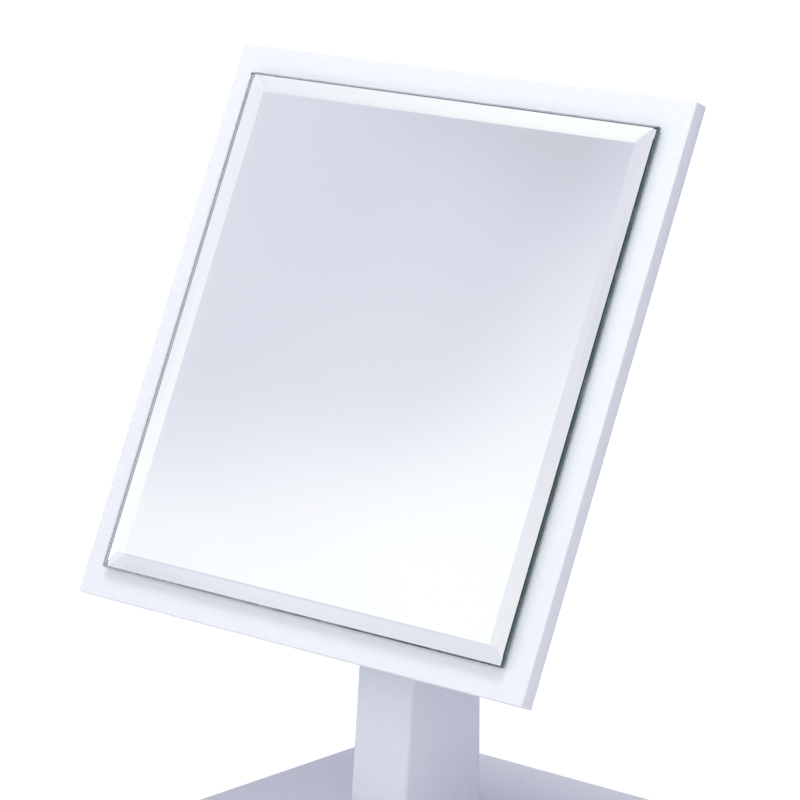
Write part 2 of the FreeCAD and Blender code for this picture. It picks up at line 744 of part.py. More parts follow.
def make_arm():
    arm = new_head_body("mirror_bracket")
    plate_back = "(frame_thickness + arm_plate_thickness)"
    flat = new_sketch(arm, z=f"-{plate_back}")
    rectangle(flat, "arm_plate_width", "arm_plate_height")
    plate = pad(arm, flat, "arm_plate_thickness")
    corners = edges_where(plate, straight_along(Vector(0, 0, 1)))
    dress(arm, "Fillet", plate, corners, "arm_plate_corner")

    side = new_sketch(arm, "YZ_Plane")
    arm_side_view(side, f"-({plate_back} - arm_plate_thickness / 2)")
    grown = pad(arm, side, "arm_thickness", middle=True)

    level = -value(plate_back)
    half_wide, half_tall = value("arm_thickness") / 2, value("arm_height") / 2

    def at_the_root(edge):
        box = edge.BoundBox
        if abs(box.ZMin - level) > near or abs(box.ZMax - level) > near:
            return False
        return box.XMax < half_wide + near and box.YMax < half_tall + near and box.XMin > -half_wide - near

    dress(arm, "Fillet", grown, edges_where(grown, at_the_root), "arm_fillet")
    bore = new_sketch(arm, "YZ_Plane")
    circle(bore, pivot_hole, "0", "-pivot_setback")
    cut(arm, bore, "2 * arm_thickness", middle=True)
    drill(arm, arm_screw_places, arm_screw_hole, "arm_plate_thickness", f"-{plate_back}")
    screws(new_head_body("mirror_bracket_screws"), arm_screw_places, "arm_screw", f"-{plate_back}")


# Mirror head


def make_frame():
    core_width = "(frame_width - 2 * wrap_thickness)"
    core_height = "(frame_height - 2 * wrap_thickness)"
    core_depth = "(frame_thickness - 2 * wrap_thickness)"
    window = ("(frame_width - 2 * turn_in)", "(frame_height - 2 * turn_in)")
    screw_depth = "arm_screw_length - arm_plate_thickness - wrap_thickness + 2 * screw_clearance"
    core_back = "-(frame_thickness - wrap_thickness)"

    core = new_head_body("frame_board")
    flat = new_sketch(core, z=core_back)
    rectangle(flat, core_width, core_height)
    pad(core, flat, core_depth)
    drill(core, arm_screw_places, arm_screw_hole, screw_depth, core_back)

    wrap = new_head_body("frame_wrap")
    flat = new_sketch(wrap)
    rectangle(flat, "frame_width", "frame_height")
    block = pad(wrap, flat, "frame_thickness", backwards=True)
    rims = edges_where(block, lambda edge: edge.BoundBox.ZLength < near)
    dress(wrap, "Fillet", block, rims, "wrap_edge_radius")
    opening = new_sketch(wrap, z="-frame_thickness")
    rectangle(opening, *window)
    cut(wrap, opening, "wrap_thickness", onwards=True)
    inside = new_sketch(wrap, z=core_back)
    rectangle(inside, core_width, core_height)
    cut(wrap, inside, core_depth, onwards=True)

    cover = new_head_body("back_cover")
    flat = new_sketch(cover, z="-frame_thickness")
    rectangle(flat, *window)
    pad(cover, flat, "wrap_thickness")
    drill(cover, arm_screw_places, arm_screw_hole, "wrap_thickness", "-frame_thickness")


def make_glass():
    """The pane: square edges, four mitred bevels above them up to the flat, and clipped corners."""
    glass = new_head_body("mirror_glass")
    lower = new_sketch(glass, z="tape_thickness")
    rectangle(lower, "glass_width", "glass_height")
    pad(glass, lower, "glass_thickness - bevel_depth")
    foot = new_sketch(glass, z="tape_thickness + glass_thickness - bevel_depth")
    rectangle(foot, "glass_width", "glass_height")
    flat = new_sketch(glass, z="tape_thickness + glass_thickness")
    rectangle(flat, "(glass_width - 2 * bevel_width)", "(glass_height - 2 * bevel_width)")
    bevels = glass.newObject("PartDesign::AdditiveLoft", "mirror_glass_bevels")
    bevels.Profile = foot
    bevels.Sections = [flat]
    bevels.Ruled = True
    doc.recompute()
    tips = new_sketch(glass, z="tape_thickness")
    for across, up in ((-1, -1), (1, -1), (1, 1), (-1, 1)):
        x, y = f"{across} * glass_width / 2", f"{up} * glass_height / 2"
        clipped_x, clipped_y = f"{x} - {across} * glass_corner_clip", f"{y} - {up} * glass_corner_clip"
        outline(tips, [(x, y), (clipped_x, y), (x, clipped_y)])
    cut(glass, tips, "glass_thickness", onwards=True)

    tape = new_head_body("mirror_tape")
    for column in (-1, 0, 1):
        strip = new_sketch(tape, x=f"{column} * tape_spacing")
        rectangle(strip, "tape_width", "(glass_height - 2 * tape_inset)")
        pad(tape, strip, "tape_thickness")


make_felt()
make_casing_boards()
make_casing_wrap()
make_top_wrap()
make_casing_fittings()
make_drawer_front()
make_drawer_box()
make_drawer_linings()
make_knob()
make_post()
make_clevis()
make_pivot()
make_arm()
make_frame()
make_glass()
doc.recompute()

for thing in doc.Objects:
    if "Invalid" in thing.State or "Error" in thing.State:
        raise RuntimeError(f"{thing.Name} did not rebuild: {thing.State}")

os.makedirs("parts", exist_ok=True)
pieces = [thing for thing in doc.Objects if thing.TypeId == "PartDesign::Body"]
for piece in pieces:
    if piece.Shape.isNull() or not piece.Shape.isValid():
        raise RuntimeError(f"{piece.Label} has no sound shape")
    piece.Shape.exportStep(os.path.join("parts", piece.Label + ".step"))
print(len(pieces), "pieces written")
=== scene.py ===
import json
import math

import bmesh
import bpy
from mathutils import Matrix, Vector


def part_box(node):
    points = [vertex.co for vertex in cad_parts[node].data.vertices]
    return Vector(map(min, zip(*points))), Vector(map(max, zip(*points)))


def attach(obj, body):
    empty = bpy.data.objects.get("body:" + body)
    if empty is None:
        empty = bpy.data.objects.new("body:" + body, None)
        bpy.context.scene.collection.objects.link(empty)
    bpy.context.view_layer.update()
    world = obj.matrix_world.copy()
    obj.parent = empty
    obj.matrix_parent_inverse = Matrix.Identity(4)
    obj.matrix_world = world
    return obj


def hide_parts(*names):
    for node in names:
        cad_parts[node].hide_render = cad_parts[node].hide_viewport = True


# Table mirror on a raked post above a one-drawer box. Metres, Z up, the user in front at -Y.

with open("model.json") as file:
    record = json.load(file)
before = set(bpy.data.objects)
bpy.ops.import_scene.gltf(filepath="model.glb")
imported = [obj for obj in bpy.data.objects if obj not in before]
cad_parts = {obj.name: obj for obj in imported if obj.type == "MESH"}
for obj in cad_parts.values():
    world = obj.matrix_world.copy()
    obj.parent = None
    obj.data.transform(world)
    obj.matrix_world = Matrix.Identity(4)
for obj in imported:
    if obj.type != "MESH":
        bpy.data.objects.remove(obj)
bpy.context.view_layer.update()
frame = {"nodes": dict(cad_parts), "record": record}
nodes = frame["nodes"]
mm = 0.001
levelWithin = 0.02 * mm   # points that differ by less lie level
sameWithin = 0.001 * mm   # points that are nearer are one
facing = 0.9              # a face whose normal has more than this of an axis faces along it
sideways = 0.1            # and one whose normal has less stands beside it
print("frame loaded:", len(nodes), "nodes")


# Helpers that shape the pieces

def pointsIn(geometry):
    return [g for g in geometry if isinstance(g, bmesh.types.BMVert)]


def unique(things):
    # each thing once, in the same order each run
    return list(dict.fromkeys(things))


def everything(bm):
    return bm.verts[:] + bm.edges[:] + bm.faces[:]


def sharper(edge, degrees):
    return len(edge.link_faces) == 2 and edge.calc_face_angle(0) > math.radians(degrees)


def turnOut(bm):
    bmesh.ops.recalc_face_normals(bm, faces=bm.faces)


def addObject(name, data):
    made = bpy.data.objects.new(name, data)
    bpy.context.scene.collection.objects.link(made)
    return made


def toMesh(bm, name, body, replaces, slot, smoothAngle=30, place=None):
    # closes a bmesh into an object that rides a body; edges flatter than smoothAngle are smooth
    if place is not None:
        bmesh.ops.transform(bm, matrix=place, verts=bm.verts)
    bmesh.ops.remove_doubles(bm, verts=bm.verts, dist=sameWithin / 2)
    turnOut(bm)
    mesh = bpy.data.meshes.new(name)
    for face in bm.faces:
        face.smooth = True
    for edge in bm.edges:
        if sharper(edge, smoothAngle):
            edge.smooth = False
    bm.to_mesh(mesh)
    bm.free()
    piece = addObject(name, mesh)
    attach(piece, body)
    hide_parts(*replaces)
    mesh.materials.append(finishOf[slot])
    return piece


def block(bm, low, high):
    # a box between two corners
    low, high = Vector(low), Vector(high)
    made = bmesh.ops.create_cube(bm, size=1.0)["verts"]
    bmesh.ops.scale(bm, vec=high - low, verts=made)
    bmesh.ops.translate(bm, vec=(low + high) / 2, verts=made)


def roundEdges(bm, edges, radius, steps):
    bmesh.ops.bevel(bm, geom=list(edges), offset=radius, segments=steps, profile=0.5,
                    affect="EDGES", material=-1, clamp_overlap=True)


def along(edge, axis):
    # whether an edge runs along axis 0, 1 or 2
    run = edge.verts[1].co - edge.verts[0].co
    return abs(run[axis]) > 0.98 * run.length


def level(thing, axis, place):
    # whether all of an edge or face lies at one place on an axis
    return all(abs(v.co[axis] - place) < levelWithin for v in thing.verts)


def edgesAlong(bm, axis):
    return [e for e in bm.edges if along(e, axis)]


def edgesLevel(bm, axis, place):
    return [e for e in bm.edges if level(e, axis, place)]


def dropFaces(bm, test):
    bmesh.ops.delete(bm, geom=[f for f in bm.faces if test(f)], context="FACES")


def addWall(bm, thickness):
    # gives an open sheet, its faces outwards, a wall on the inner side
    turnOut(bm)
    bmesh.ops.solidify(bm, geom=bm.faces[:], thickness=thickness)


def cutAcross(bm, point, normal, faces=None):
    # adds edges where a plane meets all faces, or those that pass a test
    chosen = bm.faces[:] if faces is None else [f for f in bm.faces if faces(f)]
    edges = unique(e for f in chosen for e in f.edges)
    verts = unique(v for f in chosen for v in f.verts)
    bmesh.ops.bisect_plane(bm, geom=verts + edges + chosen, plane_co=point, plane_no=normal)


def sliceOff(bm, point, normal):
    # takes off what lies past a plane, and closes the cut
    bmesh.ops.bisect_plane(bm, geom=everything(bm), plane_co=point, plane_no=normal, clear_outer=True)
    bmesh.ops.holes_fill(bm, edges=[e for e in bm.edges if e.is_boundary])


def addSeam(bm, point, normal, push, faces, width=0.7 * mm):
    # a shallow groove where two edges of a cover meet: three cuts, the middle one pushed in
    point, normal = Vector(point), Vector(normal).normalized()
    for shift in (-width / 2, 0, width / 2):
        cutAcross(bm, point + normal * shift, normal, faces)
    verts = unique(v for f in bm.faces if faces(f) for v in f.verts)
    groove = [v for v in verts if abs((v.co - point).dot(normal)) < sameWithin]
    bmesh.ops.translate(bm, vec=push, verts=groove)


def lathe(bm, outline, steps, closed=False):
    # spins (height, radius, rounding) points round the Z axis, then rounds the rings that ask for it
    made = [bm.verts.new((point[1], 0, point[0])) for point in outline]
    pairs = list(zip(made, made[1:])) + ([(made[-1], made[0])] if closed else [])
    edges = [bm.edges.new(pair) for pair in pairs]
    bmesh.ops.spin(bm, geom=made + edges, cent=(0, 0, 0), axis=(0, 0, 1), angle=math.tau,
                   steps=steps, use_merge=True)
    bmesh.ops.remove_doubles(bm, verts=bm.verts, dist=sameWithin)
    turnOut(bm)
    for height, radius, rounding in outline:
        if rounding:
            ring = [e for e in bm.edges if level(e, 2, height) and len(e.link_faces) == 2
                    and all(abs(v.co.xy.length - radius) < levelWithin for v in e.verts)]
            roundEdges(bm, ring, rounding, 4)


def scaled(outline):
    # an outline's millimetres in metres
    return [tuple(length * mm for length in point) for point in outline]


def joinTo(bm, part):
    # adds one bmesh to another, and frees it
    mesh = bpy.data.meshes.new("joined")
    part.to_mesh(mesh)
    part.free()
    bm.from_mesh(mesh)
    bpy.data.meshes.remove(mesh)


def openRim(bm, height):
    return [e for e in edgesLevel(bm, 2, height) if e.is_boundary]


def addSocket(bm, height, width, depth):
    # a hexagonal key socket in an open round rim
    rim = openRim(bm, height)
    made = bmesh.ops.create_circle(bm, segments=6, radius=width / math.sqrt(3),
                                   matrix=Matrix.Translation((0, 0, height)))["verts"]
    mouth = unique(e for v in made for e in v.link_edges)
    bmesh.ops.bridge_loops(bm, edges=rim + mouth)
    sunk = bmesh.ops.extrude_edge_only(bm, edges=mouth)["geom"]
    bmesh.ops.translate(bm, vec=(0, 0, -depth), verts=pointsIn(sunk))
    bmesh.ops.edgeloop_fill(bm, edges=[e for e in sunk if isinstance(e, bmesh.types.BMEdge)])


def addCross(bm, height, reach, depth, floorShare=0.72):
    # a cross recess in an open round rim, its floor drawn in
    rim = openRim(bm, height)
    verts = bmesh.ops.create_grid(bm, x_segments=3, y_segments=3, size=reach,
                                  matrix=Matrix.Translation((0, 0, height)))["verts"]
    faces = unique(f for v in verts for f in v.link_faces)
    corners = [f for f in faces if min(abs(c) for c in f.calc_center_median().xy) > reach / 2]
    bmesh.ops.delete(bm, geom=corners, context="FACES")
    cross = [f for f in faces if f.is_valid]
    mouth = unique(e for f in cross for e in f.edges if e.is_boundary)
    bmesh.ops.bridge_loops(bm, edges=rim + mouth)
    sunk = bmesh.ops.extrude_face_region(bm, geom=cross)["geom"]
    floor = pointsIn(sunk)
    bmesh.ops.scale(bm, vec=(floorShare, floorShare, 1), verts=floor)
    bmesh.ops.translate(bm, vec=(0, 0, -depth), verts=floor)
    bmesh.ops.delete(bm, geom=[f for f in cross if f.is_valid], context="FACES")


# The mirror head's own axes: across, up the glass, and out of its face

headPlan = {"lean": 25.0,                               # degrees that the face leans back at rest
            "boardHalf": 2.75 * mm, "skin": 0.8 * mm}   # half the bare board, and its cover
lean = math.radians(headPlan["lean"])
headAcross = Vector((1, 0, 0))
headUp = Vector((0, math.sin(lean), math.cos(lean)))
headOut = Vector((0, -math.cos(lean), math.sin(lean)))
# the axes start at the middle of the covered board's front face
boardLow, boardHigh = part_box("frame_board")
faceMiddle = (boardLow + boardHigh) / 2 + headOut * (headPlan["boardHalf"] + headPlan["skin"])
headTurn = Matrix((headAcross, headUp, headOut)).transposed().to_4x4()
headPlace = Matrix.Translation(faceMiddle) @ headTurn
print("head axes set")


# Materials

def addNode(tree, kind, sockets=None, **settings):
    # a node with its settings; a socket takes a number, a colour or another node's output
    node = tree.nodes.new("ShaderNode" + kind)
    for name, setting in settings.items():
        setattr(node, name, setting)
    for name, source in (sockets or {}).items():
        if isinstance(source, bpy.types.NodeSocket):
            tree.links.new(source, node.inputs[name])
        else:
            node.inputs[name].default_value = source
    return node


def newMaterial(name, **constants):
    # a Principled material whose fixed sockets are set straight on the shader
    material = bpy.data.materials.new(name)
    material.use_nodes = True
    shader = material.node_tree.nodes["Principled BSDF"]
    for socket, setting in constants.items():
        shader.inputs[socket.replace("_", " ")].default_value = setting
    return material, material.node_tree, shader


def objectPlace(tree, stretch=(1, 1, 1)):
    place = addNode(tree, "TexCoord").outputs["Object"]
    return addNode(tree, "Mapping", {"Vector": place, "Scale": stretch}).outputs["Vector"]


def noise(tree, place, scale, detail=3.0, rough=0.5):
    # detail counts the finer layers, and rough says how strong they are
    sockets = {"Vector": place, "Scale": scale, "Detail": detail, "Roughness": rough}
    return addNode(tree, "TexNoise", sockets).outputs["Fac"]


def cells(tree, place, scale):
    return addNode(tree, "TexVoronoi", {"Vector": place, "Scale": scale}, feature="SMOOTH_F1").outputs["Distance"]


def spread(tree, value, low, high, fromLow=0.0, fromHigh=1.0):
    # carries a value over from one range to another
    sockets = {"Value": value, "From Min": fromLow, "From Max": fromHigh, "To Min": low, "To Max": high}
    return addNode(tree, "MapRange", sockets, clamp=True).outputs["Result"]


def blendColours(tree, factor, first, second):
    mixed = addNode(tree, "Mix", data_type="RGBA")
    for name, source in (("Factor", factor), ("A", first), ("B", second)):
        # a Mix node repeats its socket names, once for each data type
        socket = [s for s in mixed.inputs if s.name == name and (name == "Factor" or s.type == "RGBA")][0]
        if isinstance(source, bpy.types.NodeSocket):
            tree.links.new(source, socket)
        else:
            socket.default_value = source
    return [s for s in mixed.outputs if s.type == "RGBA"][0]


def addBump(tree, shader, height, distance, strength):
    sockets = {"Height": height, "Distance": distance, "Strength": strength}
    bump = addNode(tree, "Bump", sockets)
    tree.links.new(bump.outputs["Normal"], shader.inputs["Normal"])


def setColour(tree, shader, factor, first, second):
    tree.links.new(blendColours(tree, factor, first, second), shader.inputs["Base Color"])


def setRoughness(tree, shader, value, low, high, fromLow=0.0, fromHigh=1.0):
    tree.links.new(spread(tree, value, low, high, fromLow, fromHigh), shader.inputs["Roughness"])


def combine(tree, kind, first, second):
    return addNode(tree, "Math", {0: first, 1: second}, operation=kind).outputs[0]


noiseSpan = (0.25, 0.75)   # what a noise mostly keeps within
innerSpan = (0.3, 0.7)     # a narrower part of it, for more contrast

leatherettePlan = {
    "pale": (0.81, 0.832, 0.885, 1), "deep": (0.735, 0.762, 0.825, 1), "gloss": 0.40, "matt": 0.56, "ior": 1.47,
    "grainPerMetre": 1500, "finePerMetre": 3300, "wavePerMetre": 300, "mottlePerMetre": 300,
    "fineShare": 0.5, "grainDepth": 0.15, "waveDepth": 0.11, "relief": 0.6}   # depths in millimetres


def makeLeatherette():
    # thin coated cover: pebble grain, a slight unevenness where it is glued down, differing tones
    plan = leatherettePlan
    material, tree, shader = newMaterial("whiteLeatherette", IOR=plan["ior"])
    place = objectPlace(tree)
    pebble = cells(tree, place, plan["grainPerMetre"])
    fine = noise(tree, place, plan["finePerMetre"], 4.0, 0.6)
    wave = noise(tree, place, plan["wavePerMetre"], 2.0, 0.45)
    mottle = noise(tree, place, plan["mottlePerMetre"], 6.0, 0.72)
    pebbled = spread(tree, pebble, 0.0, 1.0, 0.0, 0.9)
    grain = combine(tree, "ADD", pebbled, spread(tree, fine, 0.0, plan["fineShare"]))
    mottled = spread(tree, mottle, 0.1, 0.9, *noiseSpan)
    tone = combine(tree, "MULTIPLY", mottled, spread(tree, grain, 0.45, 1.0, 0.2, 1.2))
    setColour(tree, shader, tone, plan["pale"], plan["deep"])
    setRoughness(tree, shader, grain, plan["gloss"], plan["matt"], 0.2, 1.3)
    height = combine(tree, "ADD", combine(tree, "MULTIPLY", grain, plan["grainDepth"]),
                     combine(tree, "MULTIPLY", wave, plan["waveDepth"]))
    addBump(tree, shader, height, mm, plan["relief"])
    return material


fibreboardPlan = {"light": (0.62, 0.47, 0.33, 1), "dark": (0.47, 0.34, 0.23, 1), "roughness": (0.78, 0.95),
                  "fibresPerMetre": 900, "fibreFlatness": 3.5, "cloudsPerMetre": 30, "fibreDepth": 0.1 * mm}


def makeFibreboard():
    plan = fibreboardPlan
    material, tree, shader = newMaterial("rawFibreboard")
    fibres = noise(tree, objectPlace(tree, (1, 1, plan["fibreFlatness"])), plan["fibresPerMetre"], 6.0, 0.7)
    clouds = noise(tree, objectPlace(tree), plan["cloudsPerMetre"], 4.0)
    tone = combine(tree, "MULTIPLY", fibres, spread(tree, clouds, 0.8, 1.25))
    setColour(tree, shader, spread(tree, tone, 0, 1, *noiseSpan), plan["light"], plan["dark"])
    setRoughness(tree, shader, fibres, *plan["roughness"])
    addBump(tree, shader, fibres, plan["fibreDepth"], 0.5)
    return material


pilePlan = {
    "greyFelt": {"pale": (0.36, 0.36, 0.38, 1), "deep": (0.24, 0.24, 0.26, 1), "hairsPerMetre": 1100,
                 "sheen": 0.25, "depth": 0.25 * mm},
    "flockedSuede": {"pale": (0.46, 0.46, 0.49, 1), "deep": (0.35, 0.35, 0.38, 1), "hairsPerMetre": 1900,
                     "sheen": 0.4, "depth": 0.12 * mm},
    "trayVelvet": {"pale": (0.56, 0.56, 0.61, 1), "deep": (0.40, 0.40, 0.45, 1), "hairsPerMetre": 1500,
                   "sheen": 0.8, "depth": 0.18 * mm}}


def makePile(name, patchShare=0.28, patchesPerMetre=38):
    # felt, suede and velvet: a short pile with patches of painted sheen where it leans another way
    plan = pilePlan[name]
    material, tree, shader = newMaterial(name, Sheen_Weight=plan["sheen"], Sheen_Roughness=0.35)
    hairs = noise(tree, objectPlace(tree), plan["hairsPerMetre"], 5.0, 0.75)
    sheenPatches = noise(tree, objectPlace(tree, (1, 0.6, 1)), patchesPerMetre, 3.0, 0.5)
    tone = combine(tree, "ADD", spread(tree, hairs, 0.0, 1 - patchShare, 0.32, 0.68),
                   spread(tree, sheenPatches, 0.0, patchShare, 0.35, 0.65))
    setColour(tree, shader, tone, plan["deep"], plan["pale"])
    setRoughness(tree, shader, hairs, 0.82, 1.0)
    addBump(tree, shader, hairs, plan["depth"], 0.7)
    return material


# lay: how far the marks are drawn out along each axis, where less than 1 is longer
metalPlan = {
    "polishedChrome": {"pale": (0.86, 0.87, 0.88, 1), "deep": (0.80, 0.81, 0.83, 1), "roughness": (0.03, 0.09),
                       "marksPerMetre": 420, "markDepth": 0.01 * mm, "lay": (1, 1, 1)},
    "zincPlate": {"pale": (0.72, 0.73, 0.75, 1), "deep": (0.60, 0.61, 0.62, 1), "roughness": (0.22, 0.38),
                  "marksPerMetre": 900, "markDepth": 0.02 * mm, "lay": (1, 1, 1)},
    "satinSteel": {"pale": (0.66, 0.66, 0.67, 1), "deep": (0.58, 0.58, 0.60, 1), "roughness": (0.28, 0.42),
                   "marksPerMetre": 1200, "markDepth": 0.03 * mm, "lay": (0.15, 1, 1)},
    "satinCasting": {"pale": (0.64, 0.64, 0.65, 1), "deep": (0.55, 0.55, 0.57, 1), "roughness": (0.34, 0.52),
                     "marksPerMetre": 1500, "markDepth": 0.06 * mm, "lay": (1, 1, 1)}}


def makeMetal(name, cloudsPerMetre=130):
    # metal with fine lay marks, faint cloudy wear and an uneven polish
    plan = metalPlan[name]
    material, tree, shader = newMaterial(name, Metallic=1.0)
    marks = noise(tree, objectPlace(tree, plan["lay"]), plan["marksPerMetre"], 5.0, 0.6)
    clouds = noise(tree, objectPlace(tree), cloudsPerMetre, 3.0)
    setColour(tree, shader, spread(tree, clouds, 0, 1, 0.35, 0.7), plan["pale"], plan["deep"])
    setRoughness(tree, shader, marks, *plan["roughness"], *noiseSpan)
    addBump(tree, shader, marks, plan["markDepth"], 0.35)
    return material


plasticPlan = {
    "naturalNylon": {"pale": (0.86, 0.86, 0.83, 1), "deep": (0.80, 0.80, 0.76, 1), "roughness": (0.34, 0.50),
                     "specksPerMetre": 2600, "speckDepth": 0.03 * mm},
    "foamTape": {"pale": (0.80, 0.80, 0.80, 1), "deep": (0.66, 0.66, 0.67, 1), "roughness": (0.77, 0.93),
                 "specksPerMetre": 3200, "speckDepth": 0.03 * mm}}


def makePlastic(name, hazePerMetre=210):
    plan = plasticPlan[name]
    material, tree, shader = newMaterial(name, IOR=1.5)
    place = objectPlace(tree)
    haze = noise(tree, place, hazePerMetre, 4.0)
    specks = noise(tree, place, plan["specksPerMetre"], 4.0, 0.65)
    setColour(tree, shader, haze, plan["pale"], plan["deep"])
    setRoughness(tree, shader, specks, *plan["roughness"])
    addBump(tree, shader, specks, plan["speckDepth"], 0.5)
    return material


glassPlan = {
    "ior": 1.52, "clear": (0.965, 0.985, 0.975, 1), "smudged": (0.98, 0.99, 0.985, 1), "smudgesPerMetre": 26,
    "silver": (0.93, 0.945, 0.95, 1), "hazed": (0.925, 0.94, 0.945, 1), "hazePerMetre": 18,
    "withinDeep": (0.90, 0.94, 0.98, 1), "withinPale": (0.96, 0.98, 1.0, 1),
    "marksPerMetre": 320, "markDepth": 0.02 * mm, "cloudsPerMetre": 75}
# the edge darkens between two heights above the board's face; its paler part near the board is a painted reflection
# of the board
edgePaintedReflectionPlan = {"deep": (0.024, 0.07, 0.06, 1), "pale": (0.20, 0.28, 0.28, 1), "paleAt": 0.7 * mm, "deepAt": 2.5 * mm}
# painted light and shade on the dull bands: palest along the top, as if lit from above; below they darken from left
# to right, a painted reflection of darker surroundings, as measured from the foot's middle
arrisPaintedShadePlan = {"deep": (0.02, 0.02, 0.024, 1), "pale": (0.33, 0.355, 0.42, 1), "fall": 1.2, "foot": 114 * mm,
             "paleAt": -130 * mm, "deepAt": 100 * mm}


def makeGlass():
    plan = glassPlan
    material, tree, shader = newMaterial("clearGlass", Transmission_Weight=1.0, IOR=plan["ior"])
    smudge = noise(tree, objectPlace(tree), plan["smudgesPerMetre"], 5.0, 0.6)
    setColour(tree, shader, smudge, plan["clear"], plan["smudged"])
    setRoughness(tree, shader, smudge, 0.0, 0.003, 0.45, 0.8)
    return material


def makeSilver():
    plan = glassPlan
    material, tree, shader = newMaterial("backSilver", Metallic=1.0)
    haze = noise(tree, objectPlace(tree), plan["hazePerMetre"], 4.0)
    setColour(tree, shader, haze, plan["silver"], plan["hazed"])
    setRoughness(tree, shader, haze, 0.0, 0.002, 0.5, 0.8)
    return material


def makeGroundGlassWithPaintedShade(name, plan, towards, start):
    # ground glass with grinding marks, darkened along a direction by painted shade and reflection; from within it
    # mirrors the room
    glass = glassPlan
    material, tree, shader = newMaterial(name, IOR=glass["ior"], Coat_Weight=0.25, Coat_Roughness=0.12)
    marks = noise(tree, objectPlace(tree), glass["marksPerMetre"], 4.0, 0.6)
    clouds = noise(tree, objectPlace(tree), glass["cloudsPerMetre"], 4.0, 0.6)
    place = addNode(tree, "TexCoord").outputs["Object"]
    reach = addNode(tree, "VectorMath", {0: place, 1: tuple(towards)}, operation="DOT_PRODUCT").outputs["Value"]
    tone = combine(tree, "ADD", spread(tree, clouds, -0.3, 0.3, *innerSpan),
                   spread(tree, marks, -0.2, 0.2, *innerSpan))
    # painted light and shade: paler at one end of the direction, darker at the other
    paintedPaleness = spread(tree, reach, 1.0, 0.0, start + plan["paleAt"], start + plan["deepAt"])
    tone = spread(tree, combine(tree, "ADD", tone, paintedPaleness), 0, 1)
    outside = blendColours(tree, tone, plan["deep"], plan["pale"])
    inside = blendColours(tree, tone, glass["withinPale"], glass["withinDeep"])
    fromWithin = addNode(tree, "NewGeometry").outputs["Backfacing"]
    setColour(tree, shader, fromWithin, outside, inside)
    tree.links.new(fromWithin, shader.inputs["Metallic"])
    setRoughness(tree, shader, marks, 0.16, 0.34)
    addBump(tree, shader, marks, glass["markDepth"], 0.4)
    return material


nylon = makePlastic("naturalNylon")
backSilver = makeSilver()
# the ground edge carries a painted reflection of the board, paler next to it
paintedReflectionEdge = makeGroundGlassWithPaintedShade("groundGlassEdgePaintedReflection", edgePaintedReflectionPlan, headOut, faceMiddle.dot(headOut))
# the dull bands' painted light and shade change along this direction
paintedShadeRun = headAcross - headUp * arrisPaintedShadePlan["fall"]
footMiddle = faceMiddle - headUp * arrisPaintedShadePlan["foot"]
groundArrisPaintedShade = makeGroundGlassWithPaintedShade("groundArrisPaintedShade", arrisPaintedShadePlan, paintedShadeRun, footMiddle.dot(paintedShadeRun))
finishOf = {
    "white_leatherette": makeLeatherette(), "fibreboard": makeFibreboard(), "grey_felt": makePile("greyFelt"),
    "lining_suede": makePile("flockedSuede"), "tray_velvet": makePile("trayVelvet"),
    "polished_chrome": makeMetal("polishedChrome"), "zinc_plated_steel": makeMetal("zincPlate"),
    "satin_steel": makeMetal("satinSteel"), "satin_cast_metal": makeMetal("satinCasting"),
    "white_nylon": nylon, "foam_tape": makePlastic("foamTape"), "mirror_glass": makeGlass()}

slotOf = {part["node"]: part["material_slot"] for part in frame["record"]["subparts"]}
for name, node in nodes.items():
    node.data.materials.clear()
    node.data.materials.append(finishOf[slotOf[name]])
print("materials set on", len(nodes), "nodes")


# Mirror pane: bevelled in front, its rim eased, its top and foot ground dull, silvered behind

panePlan = {"width": 228 * mm, "height": 228 * mm, "thickness": 4 * mm, "tape": 1 * mm,
            "bevelWidth": 7.7 * mm, "bevelDepth": 1.2 * mm, "cornerClip": 0.5 * mm,
            "arris": 0.35 * mm, "lowerArris": 0.58 * mm, "upperArris": 0.75 * mm}


def makePane():
    plan = panePlan
    bm = bmesh.new()
    halfWide, halfTall, thick = plan["width"] / 2, plan["height"] / 2, plan["thickness"]
    block(bm, (-halfWide, -halfTall, 0), (halfWide, halfTall, thick - plan["bevelDepth"]))
    top = [f for f in bm.faces if f.normal.z > facing]
    bmesh.ops.inset_region(bm, faces=top, thickness=plan["bevelWidth"], depth=plan["bevelDepth"],
                           use_even_offset=True)
    roundEdges(bm, edgesAlong(bm, 2), plan["cornerClip"], 3)
    rim = [e for e in bm.edges if len(e.link_faces) == 2
           and any(abs(f.normal.z) < sideways for f in e.link_faces)
           and any(abs(f.normal.z) > facing for f in e.link_faces)]
    roundEdges(bm, rim, plan["arris"], 2)
    # the lower and upper edges are ground wider
    for side, width in ((-1, plan["lowerArris"]), (1, plan["upperArris"])):
        sliceOff(bm, (0, side * (halfTall - width), thick - plan["bevelDepth"]), (0, side, 1))
    bm.normal_update()
    for face in bm.faces:
        if face.normal.z < -facing:
            face.material_index = 1   # silver
        elif face.normal.z < sideways:
            face.material_index = 2   # ground edge
        elif face.normal.z < facing and abs(face.normal.y) > 0.5:
            # the dull bands carry painted light and shade
            face.material_index = 3   # dull band
    bmesh.ops.translate(bm, vec=(0, 0, plan["tape"]), verts=bm.verts)
    pane = toMesh(bm, "mirrorPane", "mirror_head", ["mirror_glass"], "mirror_glass", smoothAngle=2, place=headPlace)
    for material in (backSilver, paintedReflectionEdge, groundArrisPaintedShade):
        pane.data.materials.append(material)


makePane()
print("pane made")


# Leatherette covers, each one sheet folded round its board

